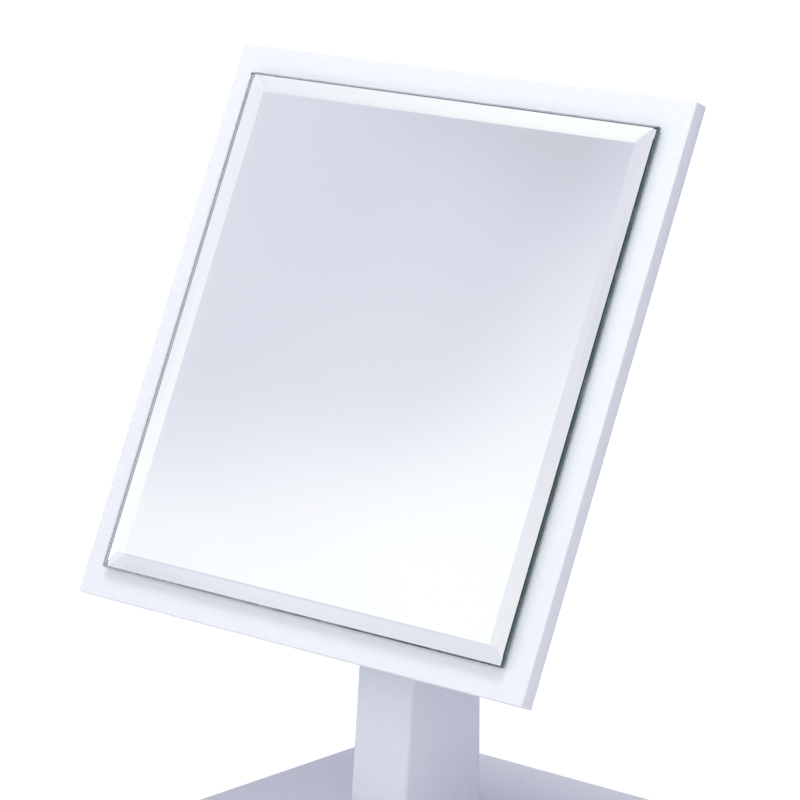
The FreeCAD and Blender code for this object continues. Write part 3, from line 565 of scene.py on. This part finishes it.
coverPlan = {"sheet": 0.8 * mm, "corner": 1.5 * mm, "rim": 0.5 * mm, "smoothAngle": 40}   # in degrees
framePlan = {"width": 254 * mm, "height": 254 * mm, "depth": 7.1 * mm, "turnIn": 10 * mm, "foldDepth": 0.35 * mm,
             "panelGap": 0.2 * mm, "panelRounding": 0.35 * mm}
postPlan = {"topDepth": 35 * mm, "corner": 1.6 * mm, "seamDepth": 0.35 * mm}
mouthPlan = {"side": 9.0 * mm, "rail": 6.2 * mm, "rounding": 0.5 * mm, "turnIn": 12 * mm,
             "seamPlace": 70 * mm, "seamDepth": 0.35 * mm}
drawerFrontPlan = {"corner": 1.05 * mm}


def finishCover(bm, name, body, node, place=None):
    toMesh(bm, name, body, [node], "white_leatherette", coverPlan["smoothAngle"], place)


def makeFrameCover():
    plan = framePlan
    bm = bmesh.new()
    wide, tall, deep = plan["width"] / 2, plan["height"] / 2, plan["depth"]
    block(bm, (-wide, -tall, -deep), (wide, tall, 0))
    outer = bm.edges[:]
    back = [f for f in bm.faces if f.normal.z < -facing]
    bmesh.ops.inset_region(bm, faces=back, thickness=plan["turnIn"], use_even_offset=True)
    # the back stays open inside the turned-in margin
    inner = (wide - plan["turnIn"] + mm, tall - plan["turnIn"] + mm)
    dropFaces(bm, lambda f: level(f, 2, -deep)
              and all(abs(v.co.x) < inner[0] and abs(v.co.y) < inner[1] for v in f.verts))
    roundEdges(bm, [e for e in outer if e.is_valid], coverPlan["rim"], 4)
    addWall(bm, coverPlan["sheet"])
    # mitred folds at the margin's four corners
    for side in (-1, 1):
        addSeam(bm, (0, 0, -deep), (1, side, 0), (0, 0, plan["foldDepth"]), lambda f: level(f, 2, -deep))
    finishCover(bm, "frameCover", "mirror_head", "frame_wrap", headPlace)

    bm = bmesh.new()
    half = wide - plan["turnIn"] - plan["panelGap"]
    block(bm, (-half, -half, -deep), (half, half, -deep + coverPlan["sheet"]))
    roundEdges(bm, edgesLevel(bm, 2, -deep), plan["panelRounding"], 3)
    finishCover(bm, "frameBackPanel", "mirror_head", "back_cover", headPlace)


def makePostCover():
    plan = postPlan
    low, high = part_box("post_wrap")
    bm = bmesh.new()
    block(bm, low, high)
    # the front rakes back towards the top
    for v in bm.verts:
        if v.co.z > high.z - mm and v.co.y < 0:
            v.co.y = high.y - plan["topDepth"]
    dropFaces(bm, lambda f: level(f, 2, low.z))
    tall = [e for e in bm.edges if abs(e.verts[0].co.z - e.verts[1].co.z) > 100 * mm]
    roundEdges(bm, tall, plan["corner"], 5)
    roundEdges(bm, edgesLevel(bm, 2, high.z), coverPlan["rim"], 3)
    addWall(bm, coverPlan["sheet"])
    addSeam(bm, (0, high.y, 0), (1, 0, 0), (0, -plan["seamDepth"], 0), lambda f: level(f, 1, high.y))
    finishCover(bm, "postCover", "base", "post_wrap")


def makeBaseCovers():
    plan = mouthPlan
    low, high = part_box("top_wrap")
    bm = bmesh.new()
    block(bm, low, high)
    dropFaces(bm, lambda f: level(f, 2, low.z))
    roundEdges(bm, edgesAlong(bm, 2), coverPlan["corner"], 5)
    roundEdges(bm, edgesLevel(bm, 2, high.z), coverPlan["rim"], 4)
    addWall(bm, coverPlan["sheet"])
    finishCover(bm, "baseTopCover", "base", "top_wrap")

    low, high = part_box("casing_wrap")
    left, right, rail = low.x + plan["side"], high.x - plan["side"], low.z + plan["rail"]
    bm = bmesh.new()
    block(bm, low, high)
    dropFaces(bm, lambda f: level(f, 2, low.z) or level(f, 2, high.z))
    roundEdges(bm, edgesAlong(bm, 2), coverPlan["corner"], 5)
    isFront = lambda f: level(f, 1, low.y)
    cutAcross(bm, (left, 0, 0), (1, 0, 0), isFront)
    cutAcross(bm, (right, 0, 0), (1, 0, 0), isFront)
    cutAcross(bm, (0, 0, rail), (0, 0, 1), isFront)
    dropFaces(bm, lambda f: isFront(f) and left < f.calc_center_median().x < right
              and f.calc_center_median().z > rail)
    # the cover turns in round the drawer's mouth
    mouth = [e for e in edgesLevel(bm, 1, low.y)
             if e.is_boundary and not level(e, 2, high.z) and not level(e, 2, low.z)]
    turned = bmesh.ops.extrude_edge_only(bm, edges=mouth)["geom"]
    bmesh.ops.translate(bm, vec=(0, plan["turnIn"], 0), verts=pointsIn(turned))
    roundEdges(bm, [e for e in mouth if e.is_valid], plan["rounding"], 3)
    addWall(bm, coverPlan["sheet"])
    addSeam(bm, (plan["seamPlace"], 0, 0), (1, 0, 0), (0, -plan["seamDepth"], 0), lambda f: level(f, 1, high.y))
    finishCover(bm, "casingCover", "base", "casing_wrap")


def makeDrawerFrontCover():
    low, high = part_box("drawer_front_wrap")
    bm = bmesh.new()
    block(bm, low, high)
    dropFaces(bm, lambda f: level(f, 1, high.y))
    roundEdges(bm, edgesAlong(bm, 1), drawerFrontPlan["corner"], 4)
    roundEdges(bm, edgesLevel(bm, 1, low.y), coverPlan["rim"], 4)
    addWall(bm, coverPlan["sheet"])
    finishCover(bm, "drawerFrontCover", "drawer", "drawer_front_wrap")


makeFrameCover()
makePostCover()
makeBaseCovers()
makeDrawerFrontCover()
print("covers made")


# Linings, felt and tape

liningPlan = {
    "baseFelt": {"node": "base_felt", "body": "base", "corner": 3.0 * mm, "rim": 0.4 * mm},
    "casingFloorLining": {"node": "casing_floor_lining", "body": "base", "corner": 1.0 * mm, "rim": 0.2 * mm},
    "trayFloorLining": {"node": "drawer_floor_lining", "body": "drawer", "corner": 0.8 * mm, "rim": 0.4 * mm}}
wallLiningPlan = {"thickness": 0.8 * mm, "corner": 1.6 * mm, "rim": 0.3 * mm}
bumperPlan = {"width": 10 * mm, "corner": 2.4 * mm, "rim": 0.5 * mm}
tapePlan = {"width": 20 * mm, "length": 210 * mm, "spacing": 92 * mm, "thickness": 0.96 * mm, "waist": 0.3 * mm}


def makeLinings():
    for name, plan in liningPlan.items():
        low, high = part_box(plan["node"])
        bm = bmesh.new()
        block(bm, low, high)
        roundEdges(bm, edgesAlong(bm, 2), plan["corner"], 4)
        roundEdges(bm, edgesLevel(bm, 2, high.z), plan["rim"], 3)
        toMesh(bm, name, plan["body"], [plan["node"]], slotOf[plan["node"]])

    plan = wallLiningPlan
    low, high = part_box("drawer_wall_lining")
    bm = bmesh.new()
    block(bm, low, high)
    dropFaces(bm, lambda f: level(f, 2, low.z) or level(f, 2, high.z))
    roundEdges(bm, edgesAlong(bm, 2), plan["corner"], 4)
    addWall(bm, plan["thickness"])
    roundEdges(bm, [e for e in edgesLevel(bm, 2, high.z) if sharper(e, 80)], plan["rim"], 3)
    toMesh(bm, "trayWallLining", "drawer", ["drawer_wall_lining"], "tray_velvet")


def makeBumpers():
    plan = bumperPlan
    low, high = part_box("drawer_bumpers")
    bm = bmesh.new()
    for left in (low.x, high.x - plan["width"]):
        block(bm, (left, low.y, low.z), (left + plan["width"], high.y, high.z))
    roundEdges(bm, edgesAlong(bm, 1), plan["corner"], 5)
    roundEdges(bm, edgesLevel(bm, 1, low.y), plan["rim"], 3)
    toMesh(bm, "drawerBumperPads", "base", ["drawer_bumpers"], "grey_felt")


def makeTape():
    plan = tapePlan
    bm = bmesh.new()
    wide, long, half = plan["width"] / 2, plan["length"] / 2, plan["thickness"] / 2
    columns = [column * plan["spacing"] for column in (-1, 0, 1)]
    for x in columns:
        block(bm, (x - wide, -long, 0), (x + wide, long, plan["thickness"]))
    # the foam draws in a little between its two glued faces
    cutAcross(bm, (0, 0, half), (0, 0, 1))
    waist = [v for v in bm.verts if abs(v.co.z - half) < sameWithin]
    draw = Matrix.Diagonal((1 - plan["waist"] / wide, 1 - plan["waist"] / long, 1, 1))
    for x in columns:
        strip = [v for v in waist if abs(v.co.x - x) < wide + mm]
        middle = Matrix.Translation((x, 0, 0))
        bmesh.ops.transform(bm, matrix=middle @ draw @ middle.inverted(), verts=strip)
    toMesh(bm, "foamTapeStrips", "mirror_head", ["mirror_tape"], "foam_tape", smoothAngle=60, place=headPlace)


makeLinings()
makeBumpers()
makeTape()
print("linings made")


# Drawer knob

knobPlan = {
    # millimetres: how far out from the drawer's front, radius, rounding
    "outline": [(0, 0, 0), (0, 6.0, 0.35), (1.6, 6.0, 0.7), (1.6, 3.75, 0.9), (8.0, 3.75, 1.4), (8.0, 8.0, 1.3),
                (15.6, 8.0, 1.5), (16.6, 5.4, 4.0), (17.0, 2.4, 4.0), (17.0, 0, 0)]}


def makeKnob():
    low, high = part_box("drawer_knob")
    bm = bmesh.new()
    lathe(bm, scaled(knobPlan["outline"]), 96)
    middle = (low + high) / 2
    place = Matrix.Translation((0, high.y, middle.z)) @ Matrix.Rotation(math.pi / 2, 4, "X")
    toMesh(bm, "drawerKnob", "drawer", ["drawer_knob"], "polished_chrome", smoothAngle=60, place=place)


makeKnob()
print("knob made")


# Screws: pan heads with a cross recess

# in millimetres; a spacing of 0 is one screw
screwPlan = {
    "armScrews": {"node": "mirror_bracket_screws", "body": "mirror_head", "head": 7.6, "rise": 2.2, "shank": 4.0,
                  "length": 7.5, "spacing": 40},
    "clevisScrews": {"node": "post_bracket_screws", "body": "base", "head": 6.6, "rise": 2.0, "shank": 3.5,
                     "length": 22, "spacing": 18},
    "postScrews": {"node": "post_screws", "body": "base", "head": 8.0, "rise": 2.6, "shank": 4.0,
                   "length": 40, "spacing": 26},
    "knobScrew": {"node": "knob_screw", "body": "drawer", "head": 8.0, "rise": 2.4, "shank": 4.0,
                  "length": 13.5, "spacing": 0}}
# lengths in millimetres, shares of the head's rise or radius, turns in radians
screwShape = {"tip": 2, "seatRounding": 0.15, "edgeShare": 0.45, "edgeRounding": 0.45, "topShare": 0.68,
              "crossReach": 0.55, "crossDepth": 0.6, "firstTurn": 0.4, "nextTurn": 0.9}
plateBack = 10.1 * mm   # from the covered board's face to the back of the arm's plate


def screwPlaces(name, plan):
    # where each screw's seat is, with its head up
    low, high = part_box(plan["node"])
    middle, half, rise = (low + high) / 2, plan["spacing"] * mm / 2, plan["rise"] * mm
    over = Matrix.Rotation(math.pi, 4, "X")
    if name == "armScrews":
        return [headPlace @ Matrix.Translation((x, 0, -plateBack)) @ over for x in (-half, half)]
    if name == "knobScrew":
        return [Matrix.Translation((middle.x, high.y - rise, middle.z)) @ Matrix.Rotation(-math.pi / 2, 4, "X")]
    if name == "postScrews":
        return [Matrix.Translation((middle.x, middle.y + y, low.z + rise)) @ over for y in (-half, half)]
    return [Matrix.Translation((middle.x, middle.y + y, high.z - rise)) for y in (-half, half)]


def makeScrews():
    shape = screwShape
    for name, plan in screwPlan.items():
        head, rise, shank, length = plan["head"] / 2, plan["rise"], plan["shank"] / 2, plan["length"]
        outline = [(-length, 0, 0), (-length + shape["tip"], shank, 0), (0, shank, 0),
                   (0, head, shape["seatRounding"]), (rise * shape["edgeShare"], head, shape["edgeRounding"]),
                   (rise, head * shape["topShare"], 0)]
        made = bmesh.new()
        for index, place in enumerate(screwPlaces(name, plan)):
            bm = bmesh.new()
            lathe(bm, scaled(outline), 40)
            addCross(bm, rise * mm, head * shape["crossReach"] * mm, rise * shape["crossDepth"] * mm)
            turn = Matrix.Rotation(shape["firstTurn"] + shape["nextTurn"] * index, 4, "Z")
            bmesh.ops.transform(bm, matrix=place @ turn, verts=bm.verts)
            joinTo(made, bm)
        toMesh(made, name, plan["body"], [plan["node"]], "zinc_plated_steel", smoothAngle=35)


makeScrews()
print("screws made")


# Tilt hinge: bolt, washers and nut along one axis, the cast arm and the pressed clevis

# millimetres; outlines give place along the axis, radius, rounding
hingePlan = {
    "bolt": [(-15.35, 0, 0), (-15.35, 2.1, 0), (-15.0, 2.45, 0), (9.55, 2.45, 0), (9.55, 4.75, 0.2),
             (10.5, 4.75, 0.5), (12.0, 3.4, 0.5), (12.35, 2.3, 0)],
    "socket": 3.0, "socketDepth": 1.6,
    "threadPitch": 0.8, "threadCrest": 2.45, "threadRoot": 2.05, "threadFrom": -15.0, "threadTo": -9.8,
    "frictionWasher": [(5.05, 2.6, 0), (5.05, 7.5, 0.2), (6.05, 7.5, 0.2), (6.05, 2.6, 0)],
    "steelWasher": [(8.55, 2.6, 0.1), (8.55, 5.0, 0.15), (9.55, 5.0, 0.25), (9.55, 2.6, 0.15)],
    "nutFlats": 8.0, "nutFrom": 9.55, "nutRise": 3.4, "nutChamfer": 0.55, "chamferSlope": (0.5, 0.866),
    "collar": [(12.95, 2.9, 0), (12.95, 3.5, 0), (14.35, 3.5, 0.5), (14.35, 2.9, 0.1)],
    "nylonRing": [(13.0, 2.45, 0), (13.0, 2.92, 0), (14.2, 2.92, 0), (14.2, 2.45, 0.1)],
    "castingRounding": 0.7, "sheetRounding": 0.35, "flatAngle": 1.5, "easedAngle": 40}   # angles in degrees


def pivotPlace():
    # the hinge axis, Z turned to run along X
    low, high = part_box("pivot_bolt")
    middle = (low + high) / 2
    return Matrix.Translation((0, middle.y, middle.z)) @ Matrix.Rotation(math.pi / 2, 4, "Y")


def makeBolt():
    plan = hingePlan
    bm = bmesh.new()
    # the thread's crests and roots take the place of the outline's third point
    threads = []
    place, pitch = plan["threadFrom"], plan["threadPitch"]
    while place < plan["threadTo"]:
        threads += [(place, plan["threadCrest"], 0), (place + pitch / 2, plan["threadRoot"], 0)]
        place += pitch
    outline = plan["bolt"][:2] + threads + plan["bolt"][3:]
    lathe(bm, scaled(outline), 48)
    addSocket(bm, plan["bolt"][-1][0] * mm, plan["socket"] * mm, plan["socketDepth"] * mm)
    toMesh(bm, "pivotBolt", "base", ["pivot_bolt"], "zinc_plated_steel", place=pivotPlace())


def makeWashers():
    for name, node, outline, slot in (
            ("frictionWashers", "friction_washers", hingePlan["frictionWasher"], "white_nylon"),
            ("steelWashers", "steel_washers", hingePlan["steelWasher"], "zinc_plated_steel")):
        bm = bmesh.new()
        lathe(bm, scaled(outline), 56, True)
        copied = bmesh.ops.duplicate(bm, geom=everything(bm))["geom"]
        bmesh.ops.transform(bm, matrix=Matrix.Rotation(math.pi, 4, "X"), verts=pointsIn(copied))
        toMesh(bm, name, "base", [node], slot, smoothAngle=35, place=pivotPlace())


def makeNut():
    plan = hingePlan
    bm = bmesh.new()
    corner = plan["nutFlats"] / math.sqrt(3) * mm
    rise = plan["nutRise"] * mm
    bmesh.ops.create_circle(bm, cap_ends=True, segments=6, radius=corner, matrix=Matrix.Rotation(math.pi / 6, 4, "Z"))
    grown = bmesh.ops.extrude_face_region(bm, geom=bm.faces[:])["geom"]
    bmesh.ops.translate(bm, vec=(0, 0, rise), verts=pointsIn(grown))
    turnOut(bm)
    # each corner is cut back at both ends, as the turned chamfer does
    aside, upright = plan["chamferSlope"]
    reach = corner - plan["nutChamfer"] * mm
    for step in range(6):
        turn = math.radians(60 * step) + math.pi / 6
        x, y = math.cos(turn), math.sin(turn)
        for end, way in ((rise, 1), (0, -1)):
            sliceOff(bm, (x * reach, y * reach, end), (x * aside, y * aside, way * upright))
    bmesh.ops.translate(bm, vec=(0, 0, plan["nutFrom"] * mm), verts=bm.verts)
    for index, ring in enumerate(("collar", "nylonRing")):
        before = set(bm.faces)
        part = bmesh.new()
        lathe(part, scaled(plan[ring]), 48, True)
        joinTo(bm, part)
        for face in set(bm.faces) - before:
            face.material_index = index
    place = pivotPlace() @ Matrix.Rotation(math.pi, 4, "X")
    nut = toMesh(bm, "lockNut", "base", ["lock_nut"], "zinc_plated_steel", smoothAngle=35, place=place)
    nut.data.materials.append(nylon)


def makeSoftened(node, name, body, slot, rounding):
    # a copy of a CAD piece with its loose triangles merged and its sharp edges eased
    bm = bmesh.new()
    bm.from_mesh(nodes[node].data)
    bmesh.ops.remove_doubles(bm, verts=bm.verts, dist=sameWithin)
    bmesh.ops.dissolve_limit(bm, angle_limit=math.radians(hingePlan["flatAngle"]), verts=bm.verts, edges=bm.edges)
    turnOut(bm)
    roundEdges(bm, [e for e in bm.edges if sharper(e, hingePlan["easedAngle"])], rounding * mm, 3)
    toMesh(bm, name, body, [node], slot)


makeBolt()
makeWashers()
makeNut()
makeSoftened("mirror_bracket", "castArm", "mirror_head", "satin_cast_metal", hingePlan["castingRounding"])
makeSoftened("post_bracket", "pressedClevis", "base", "satin_steel", hingePlan["sheetRounding"])
print("hinge made")


# Studio: floor, world, lamps and camera

roomPlan = {
    # the room that metal and glass reflect: its walls shade along this direction
    "strength": 1.10, "shadeAxis": (-0.733, -0.099, 0.673),
    "shades": [(0.0, 0.70), (0.12, 0.75), (0.30, 0.94), (0.44, 0.78), (0.58, 0.88), (0.68, 1.0)],
    # each dimmer part: how much, then where it starts and is full; heights are sines, turns degrees from the front
    "ceiling": (0.137, 0.379, 0.467), "skirting": (0.62, 0.15, 0.05),
    "pillar": {"dim": 0.075, "turn": -40.5, "height": 0.3975, "reach": (0.85, 0.45)},
    "leftWall": {"dim": 0.135, "near": (-42.7, -49.4), "far": (-120, -90), "slant": 38.6, "slantHeight": 0.36},
    # small places: how much darker, or paler where below nought, and where each side starts and is full
    "places": {
        "cornice": {"dim": 0.11, "left": (-52.5, -47.8), "right": (-40, -44),
                    "foot": (0.49, 0.504), "head": (0.60, 0.56)},
        "sideWall": {"dim": 0.055, "left": (-75, -70), "right": (-54.5, -58.5),
                     "foot": (0.333, 0.352), "head": (0.382, 0.366)},
        "sideWallFoot": {"dim": -0.10, "left": (-75, -70), "right": (-54.5, -58.5),
                         "foot": (0.15, 0.2), "head": (0.335, 0.29)},
        "corner": {"dim": -0.07, "left": (-54.5, -53), "right": (-48.8, -49.8),
                   "foot": (0.34, 0.362), "head": (0.392, 0.37)},
        "farWallFoot": {"dim": -0.045, "left": (-49, -48), "right": (-44, -46),
                        "foot": (0.333, 0.346), "head": (0.372, 0.352)},
        "doorway": {"dim": -0.08, "left": (-39.5, -37.5), "right": (-29, -31),
                    "foot": (0.15, 0.2), "head": (0.446, 0.42)}},
    "panel": {"dim": 0.203, "left": (-53.5, -47.3), "right": (-42.7, -45.65), "foot": (0.344, 0.397),
              "head": (0.515, 0.49), "slant": -0.00819, "slantTurn": -48, "more": 0.11, "moreFrom": (0.45, 0.485)},
    # the colour that each brightness has
    "tints": [(0.30, (0.285, 0.30, 0.335)), (0.61, (0.602, 0.61, 0.69)), (0.68, (0.673, 0.68, 0.77)),
              (0.76, (0.761, 0.76, 0.846)), (0.84, (0.84, 0.84, 0.904)), (0.92, (0.93, 0.92, 0.962)),
              (1.0, (1, 1, 1))]}
white = (1, 1, 1, 1)


def colourRamp(tree, value, stops, interpolation="LINEAR"):
    ramp = addNode(tree, "ValToRGB", {"Fac": value})
    ramp.color_ramp.interpolation = interpolation
    elements = ramp.color_ramp.elements
    for index, (spot, colour) in enumerate(stops):
        stop = elements[index] if index < 2 else elements.new(spot)
        stop.position = spot
        stop.color = (*(colour if isinstance(colour, tuple) else (colour,) * 3), 1)
    return ramp.outputs["Color"]


def swell(tree, value, start, full, low=0.0, high=1.0):
    # eases from low, before start, to high, past full
    if start > full:
        start, full, low, high = full, start, high, low
    sockets = {"Value": value, "From Min": start, "From Max": full, "To Min": low, "To Max": high}
    return addNode(tree, "MapRange", sockets, interpolation_type="SMOOTHSTEP").outputs["Result"]


def within(tree, turn, height, footHeight, place):
    # 1 inside a place on the room's walls, falling to 0 past its four sides
    across = combine(tree, "MULTIPLY", swell(tree, turn, *place["left"]), swell(tree, turn, *place["right"]))
    upright = combine(tree, "MULTIPLY", swell(tree, footHeight, *place["foot"]), swell(tree, height, *place["head"]))
    return combine(tree, "MULTIPLY", across, upright)


def darker(tree, tone, shade):
    return combine(tree, "MULTIPLY", tone, combine(tree, "SUBTRACT", 1.0, shade))


def leaning(tree, value, other, start, slope):
    # a value that grows as another one passes a start
    return combine(tree, "ADD", value, combine(tree, "MULTIPLY", combine(tree, "SUBTRACT", other, start), slope))


def nearness(tree, towards, direction):
    return addNode(tree, "VectorMath", {0: towards, 1: direction}, operation="DOT_PRODUCT").outputs["Value"]


def makeRoomTone(tree):
    # brightness of the reflected room in each direction
    plan = roomPlan
    towards = addNode(tree, "TexCoord").outputs["Generated"]
    axes = addNode(tree, "SeparateXYZ", {0: towards}).outputs
    height = axes["Z"]
    turn = combine(tree, "MULTIPLY", combine(tree, "ARCTAN2", axes["X"], combine(tree, "MULTIPLY", axes["Y"], -1.0)),
                   math.degrees(1))
    tone = colourRamp(tree, nearness(tree, towards, plan["shadeAxis"]), plan["shades"], "EASE")
    for dim, start, full in (plan["ceiling"], plan["skirting"]):
        tone = combine(tree, "MULTIPLY", tone, swell(tree, height, start, full, 1.0, 1.0 - dim))
    pillar = plan["pillar"]
    side, flat = math.radians(pillar["turn"]), math.cos(math.asin(pillar["height"]))
    middle = (math.sin(side) * flat, -math.cos(side) * flat, pillar["height"])
    start, full = (math.cos(math.radians(angle)) for angle in pillar["reach"])
    tone = combine(tree, "MULTIPLY", tone,
                   swell(tree, nearness(tree, towards, middle), start, full, 1.0, 1.0 - pillar["dim"]))
    for place in plan["places"].values():
        shade = combine(tree, "MULTIPLY", within(tree, turn, height, height, place), place["dim"])
        tone = darker(tree, tone, shade)
    wall = plan["leftWall"]
    slanted = leaning(tree, turn, height, wall["slantHeight"], wall["slant"])
    shade = swell(tree, slanted, *wall["near"], 0.0, wall["dim"])
    tone = darker(tree, tone, combine(tree, "MULTIPLY", shade, swell(tree, turn, *wall["far"])))
    panel = plan["panel"]
    slanted = leaning(tree, height, turn, panel["slantTurn"], panel["slant"])
    shade = swell(tree, height, *panel["moreFrom"], panel["dim"], panel["dim"] + panel["more"])
    return darker(tree, tone, combine(tree, "MULTIPLY", shade, within(tree, turn, height, slanted, panel)))


ambientPlan = {"strength": 0.337, "colour": (1.01, 1.0, 1.36, 1)}


def mirrored(tree, rays):
    return combine(tree, "MAXIMUM", rays["Is Glossy Ray"], rays["Is Transmission Ray"])


def makeWorld():
    # seen straight it is white, in reflections it is a room, and the rest of its light is even
    plan = ambientPlan
    world = bpy.data.worlds.new("studioRoom")
    bpy.context.scene.world = world
    world.use_nodes = True
    tree = world.node_tree
    tree.nodes.clear()
    rays = addNode(tree, "LightPath").outputs
    tone = colourRamp(tree, makeRoomTone(tree), roomPlan["tints"])
    room = addNode(tree, "Background", {"Color": tone, "Strength": roomPlan["strength"]})
    even = addNode(tree, "Background", {"Color": plan["colour"], "Strength": plan["strength"]})
    plain = addNode(tree, "Background", {"Color": white, "Strength": 1.0})
    unseen = addNode(tree, "MixShader", {0: mirrored(tree, rays), 1: even.outputs[0], 2: room.outputs[0]})
    final = addNode(tree, "MixShader", {0: rays["Is Camera Ray"], 1: unseen.outputs[0], 2: plain.outputs[0]})
    tree.links.new(final.outputs[0], addNode(tree, "OutputWorld").inputs["Surface"])


# the floor's own glow, near the object, far away and in reflections
floorPlan = {"size": 14.0, "pale": (0.91, 0.91, 0.92, 1), "deep": (0.80, 0.80, 0.81, 1), "toothPerMetre": 320,
             "nearLift": 0.12, "farLift": 0.75, "nearReach": 0.13, "farReach": 0.7, "mirroredLift": 0.35}


def makeFloor():
    plan = floorPlan
    bm = bmesh.new()
    bmesh.ops.create_grid(bm, x_segments=1, y_segments=1, size=plan["size"] / 2)
    mesh = bpy.data.meshes.new("studioFloor")
    bm.to_mesh(mesh)
    bm.free()
    floor = addObject("studioFloor", mesh)
    material = bpy.data.materials.new("floorPaper")
    material.use_nodes = True
    tree = material.node_tree
    tree.nodes.clear()
    rays = addNode(tree, "LightPath").outputs
    reflected = combine(tree, "MULTIPLY", mirrored(tree, rays), plan["mirroredLift"])
    seen = combine(tree, "MAXIMUM", rays["Is Camera Ray"], reflected)
    tooth = noise(tree, objectPlace(tree), plan["toothPerMetre"], 4.0)
    matt = addNode(tree, "BsdfDiffuse", {"Color": blendColours(tree, tooth, plan["pale"], plan["deep"])})
    # the glow lights nothing; it grows away from the object, so that the floor there is plain white paper
    place = addNode(tree, "TexCoord").outputs["Object"]
    away = addNode(tree, "VectorMath", {0: place}, operation="LENGTH").outputs["Value"]
    rise = spread(tree, away, plan["nearLift"], plan["farLift"], plan["nearReach"], plan["farReach"])
    lift = addNode(tree, "Emission", {"Color": white, "Strength": combine(tree, "MULTIPLY", seen, rise)})
    both = addNode(tree, "AddShader", {0: matt.outputs[0], 1: lift.outputs[0]})
    tree.links.new(both.outputs[0], addNode(tree, "OutputMaterial").inputs["Surface"])
    mesh.materials.append(material)


lampPlan = {
    "overhead": {"spot": (0, -0.5, 3.2), "power": 49.7}, "frontSoft": {"spot": (0, -2.0, 0.9), "power": 4.53},
    "leftFront": {"spot": (-1.4, -1.5, 1.1), "power": 8.3}, "rightFront": {"spot": (1.4, -1.5, 1.1), "power": 10.34},
    "farRight": {"spot": (2.6, 0.6, 1.4), "power": 5.12}}
allLamps = {"aim": (0, 0, 0.2), "size": 1.2, "colour": (0.99, 1.0, 0.875)}


def makeLamps():
    for name, plan in lampPlan.items():
        light = bpy.data.lights.new(name, "AREA")
        light.shape = "DISK"
        light.size = allLamps["size"]
        light.energy = plan["power"]
        light.color = allLamps["colour"]
        lamp = addObject(name, light)
        spot = Vector(plan["spot"])
        lamp.location = spot
        lamp.rotation_euler = (Vector(allLamps["aim"]) - spot).to_track_quat("-Z", "Y").to_euler()
        lamp.visible_glossy = False
        lamp.visible_transmission = False


cameraPlan = {"turn": 41.903, "rise": 13.032, "distance": 1.674166, "aim": (0.010606, -0.021665, 0.251394),
              "lens": 179.107, "clipStart": 0.05}


def makeCamera():
    plan = cameraPlan
    turn, rise = math.radians(plan["turn"]), math.radians(plan["rise"])
    back = Vector((math.sin(turn) * math.cos(rise), -math.cos(turn) * math.cos(rise), math.sin(rise)))
    data = bpy.data.cameras.new("camera")
    data.lens = plan["lens"]
    data.clip_start = plan["clipStart"]
    camera = addObject("camera", data)
    camera.location = Vector(plan["aim"]) + back * plan["distance"]
    camera.rotation_euler = (-back).to_track_quat("-Z", "Y").to_euler()
    bpy.context.scene.camera = camera


makeWorld()
makeFloor()
makeLamps()
makeCamera()
bpy.context.scene.view_settings.view_transform = "Standard"
print("studio set")
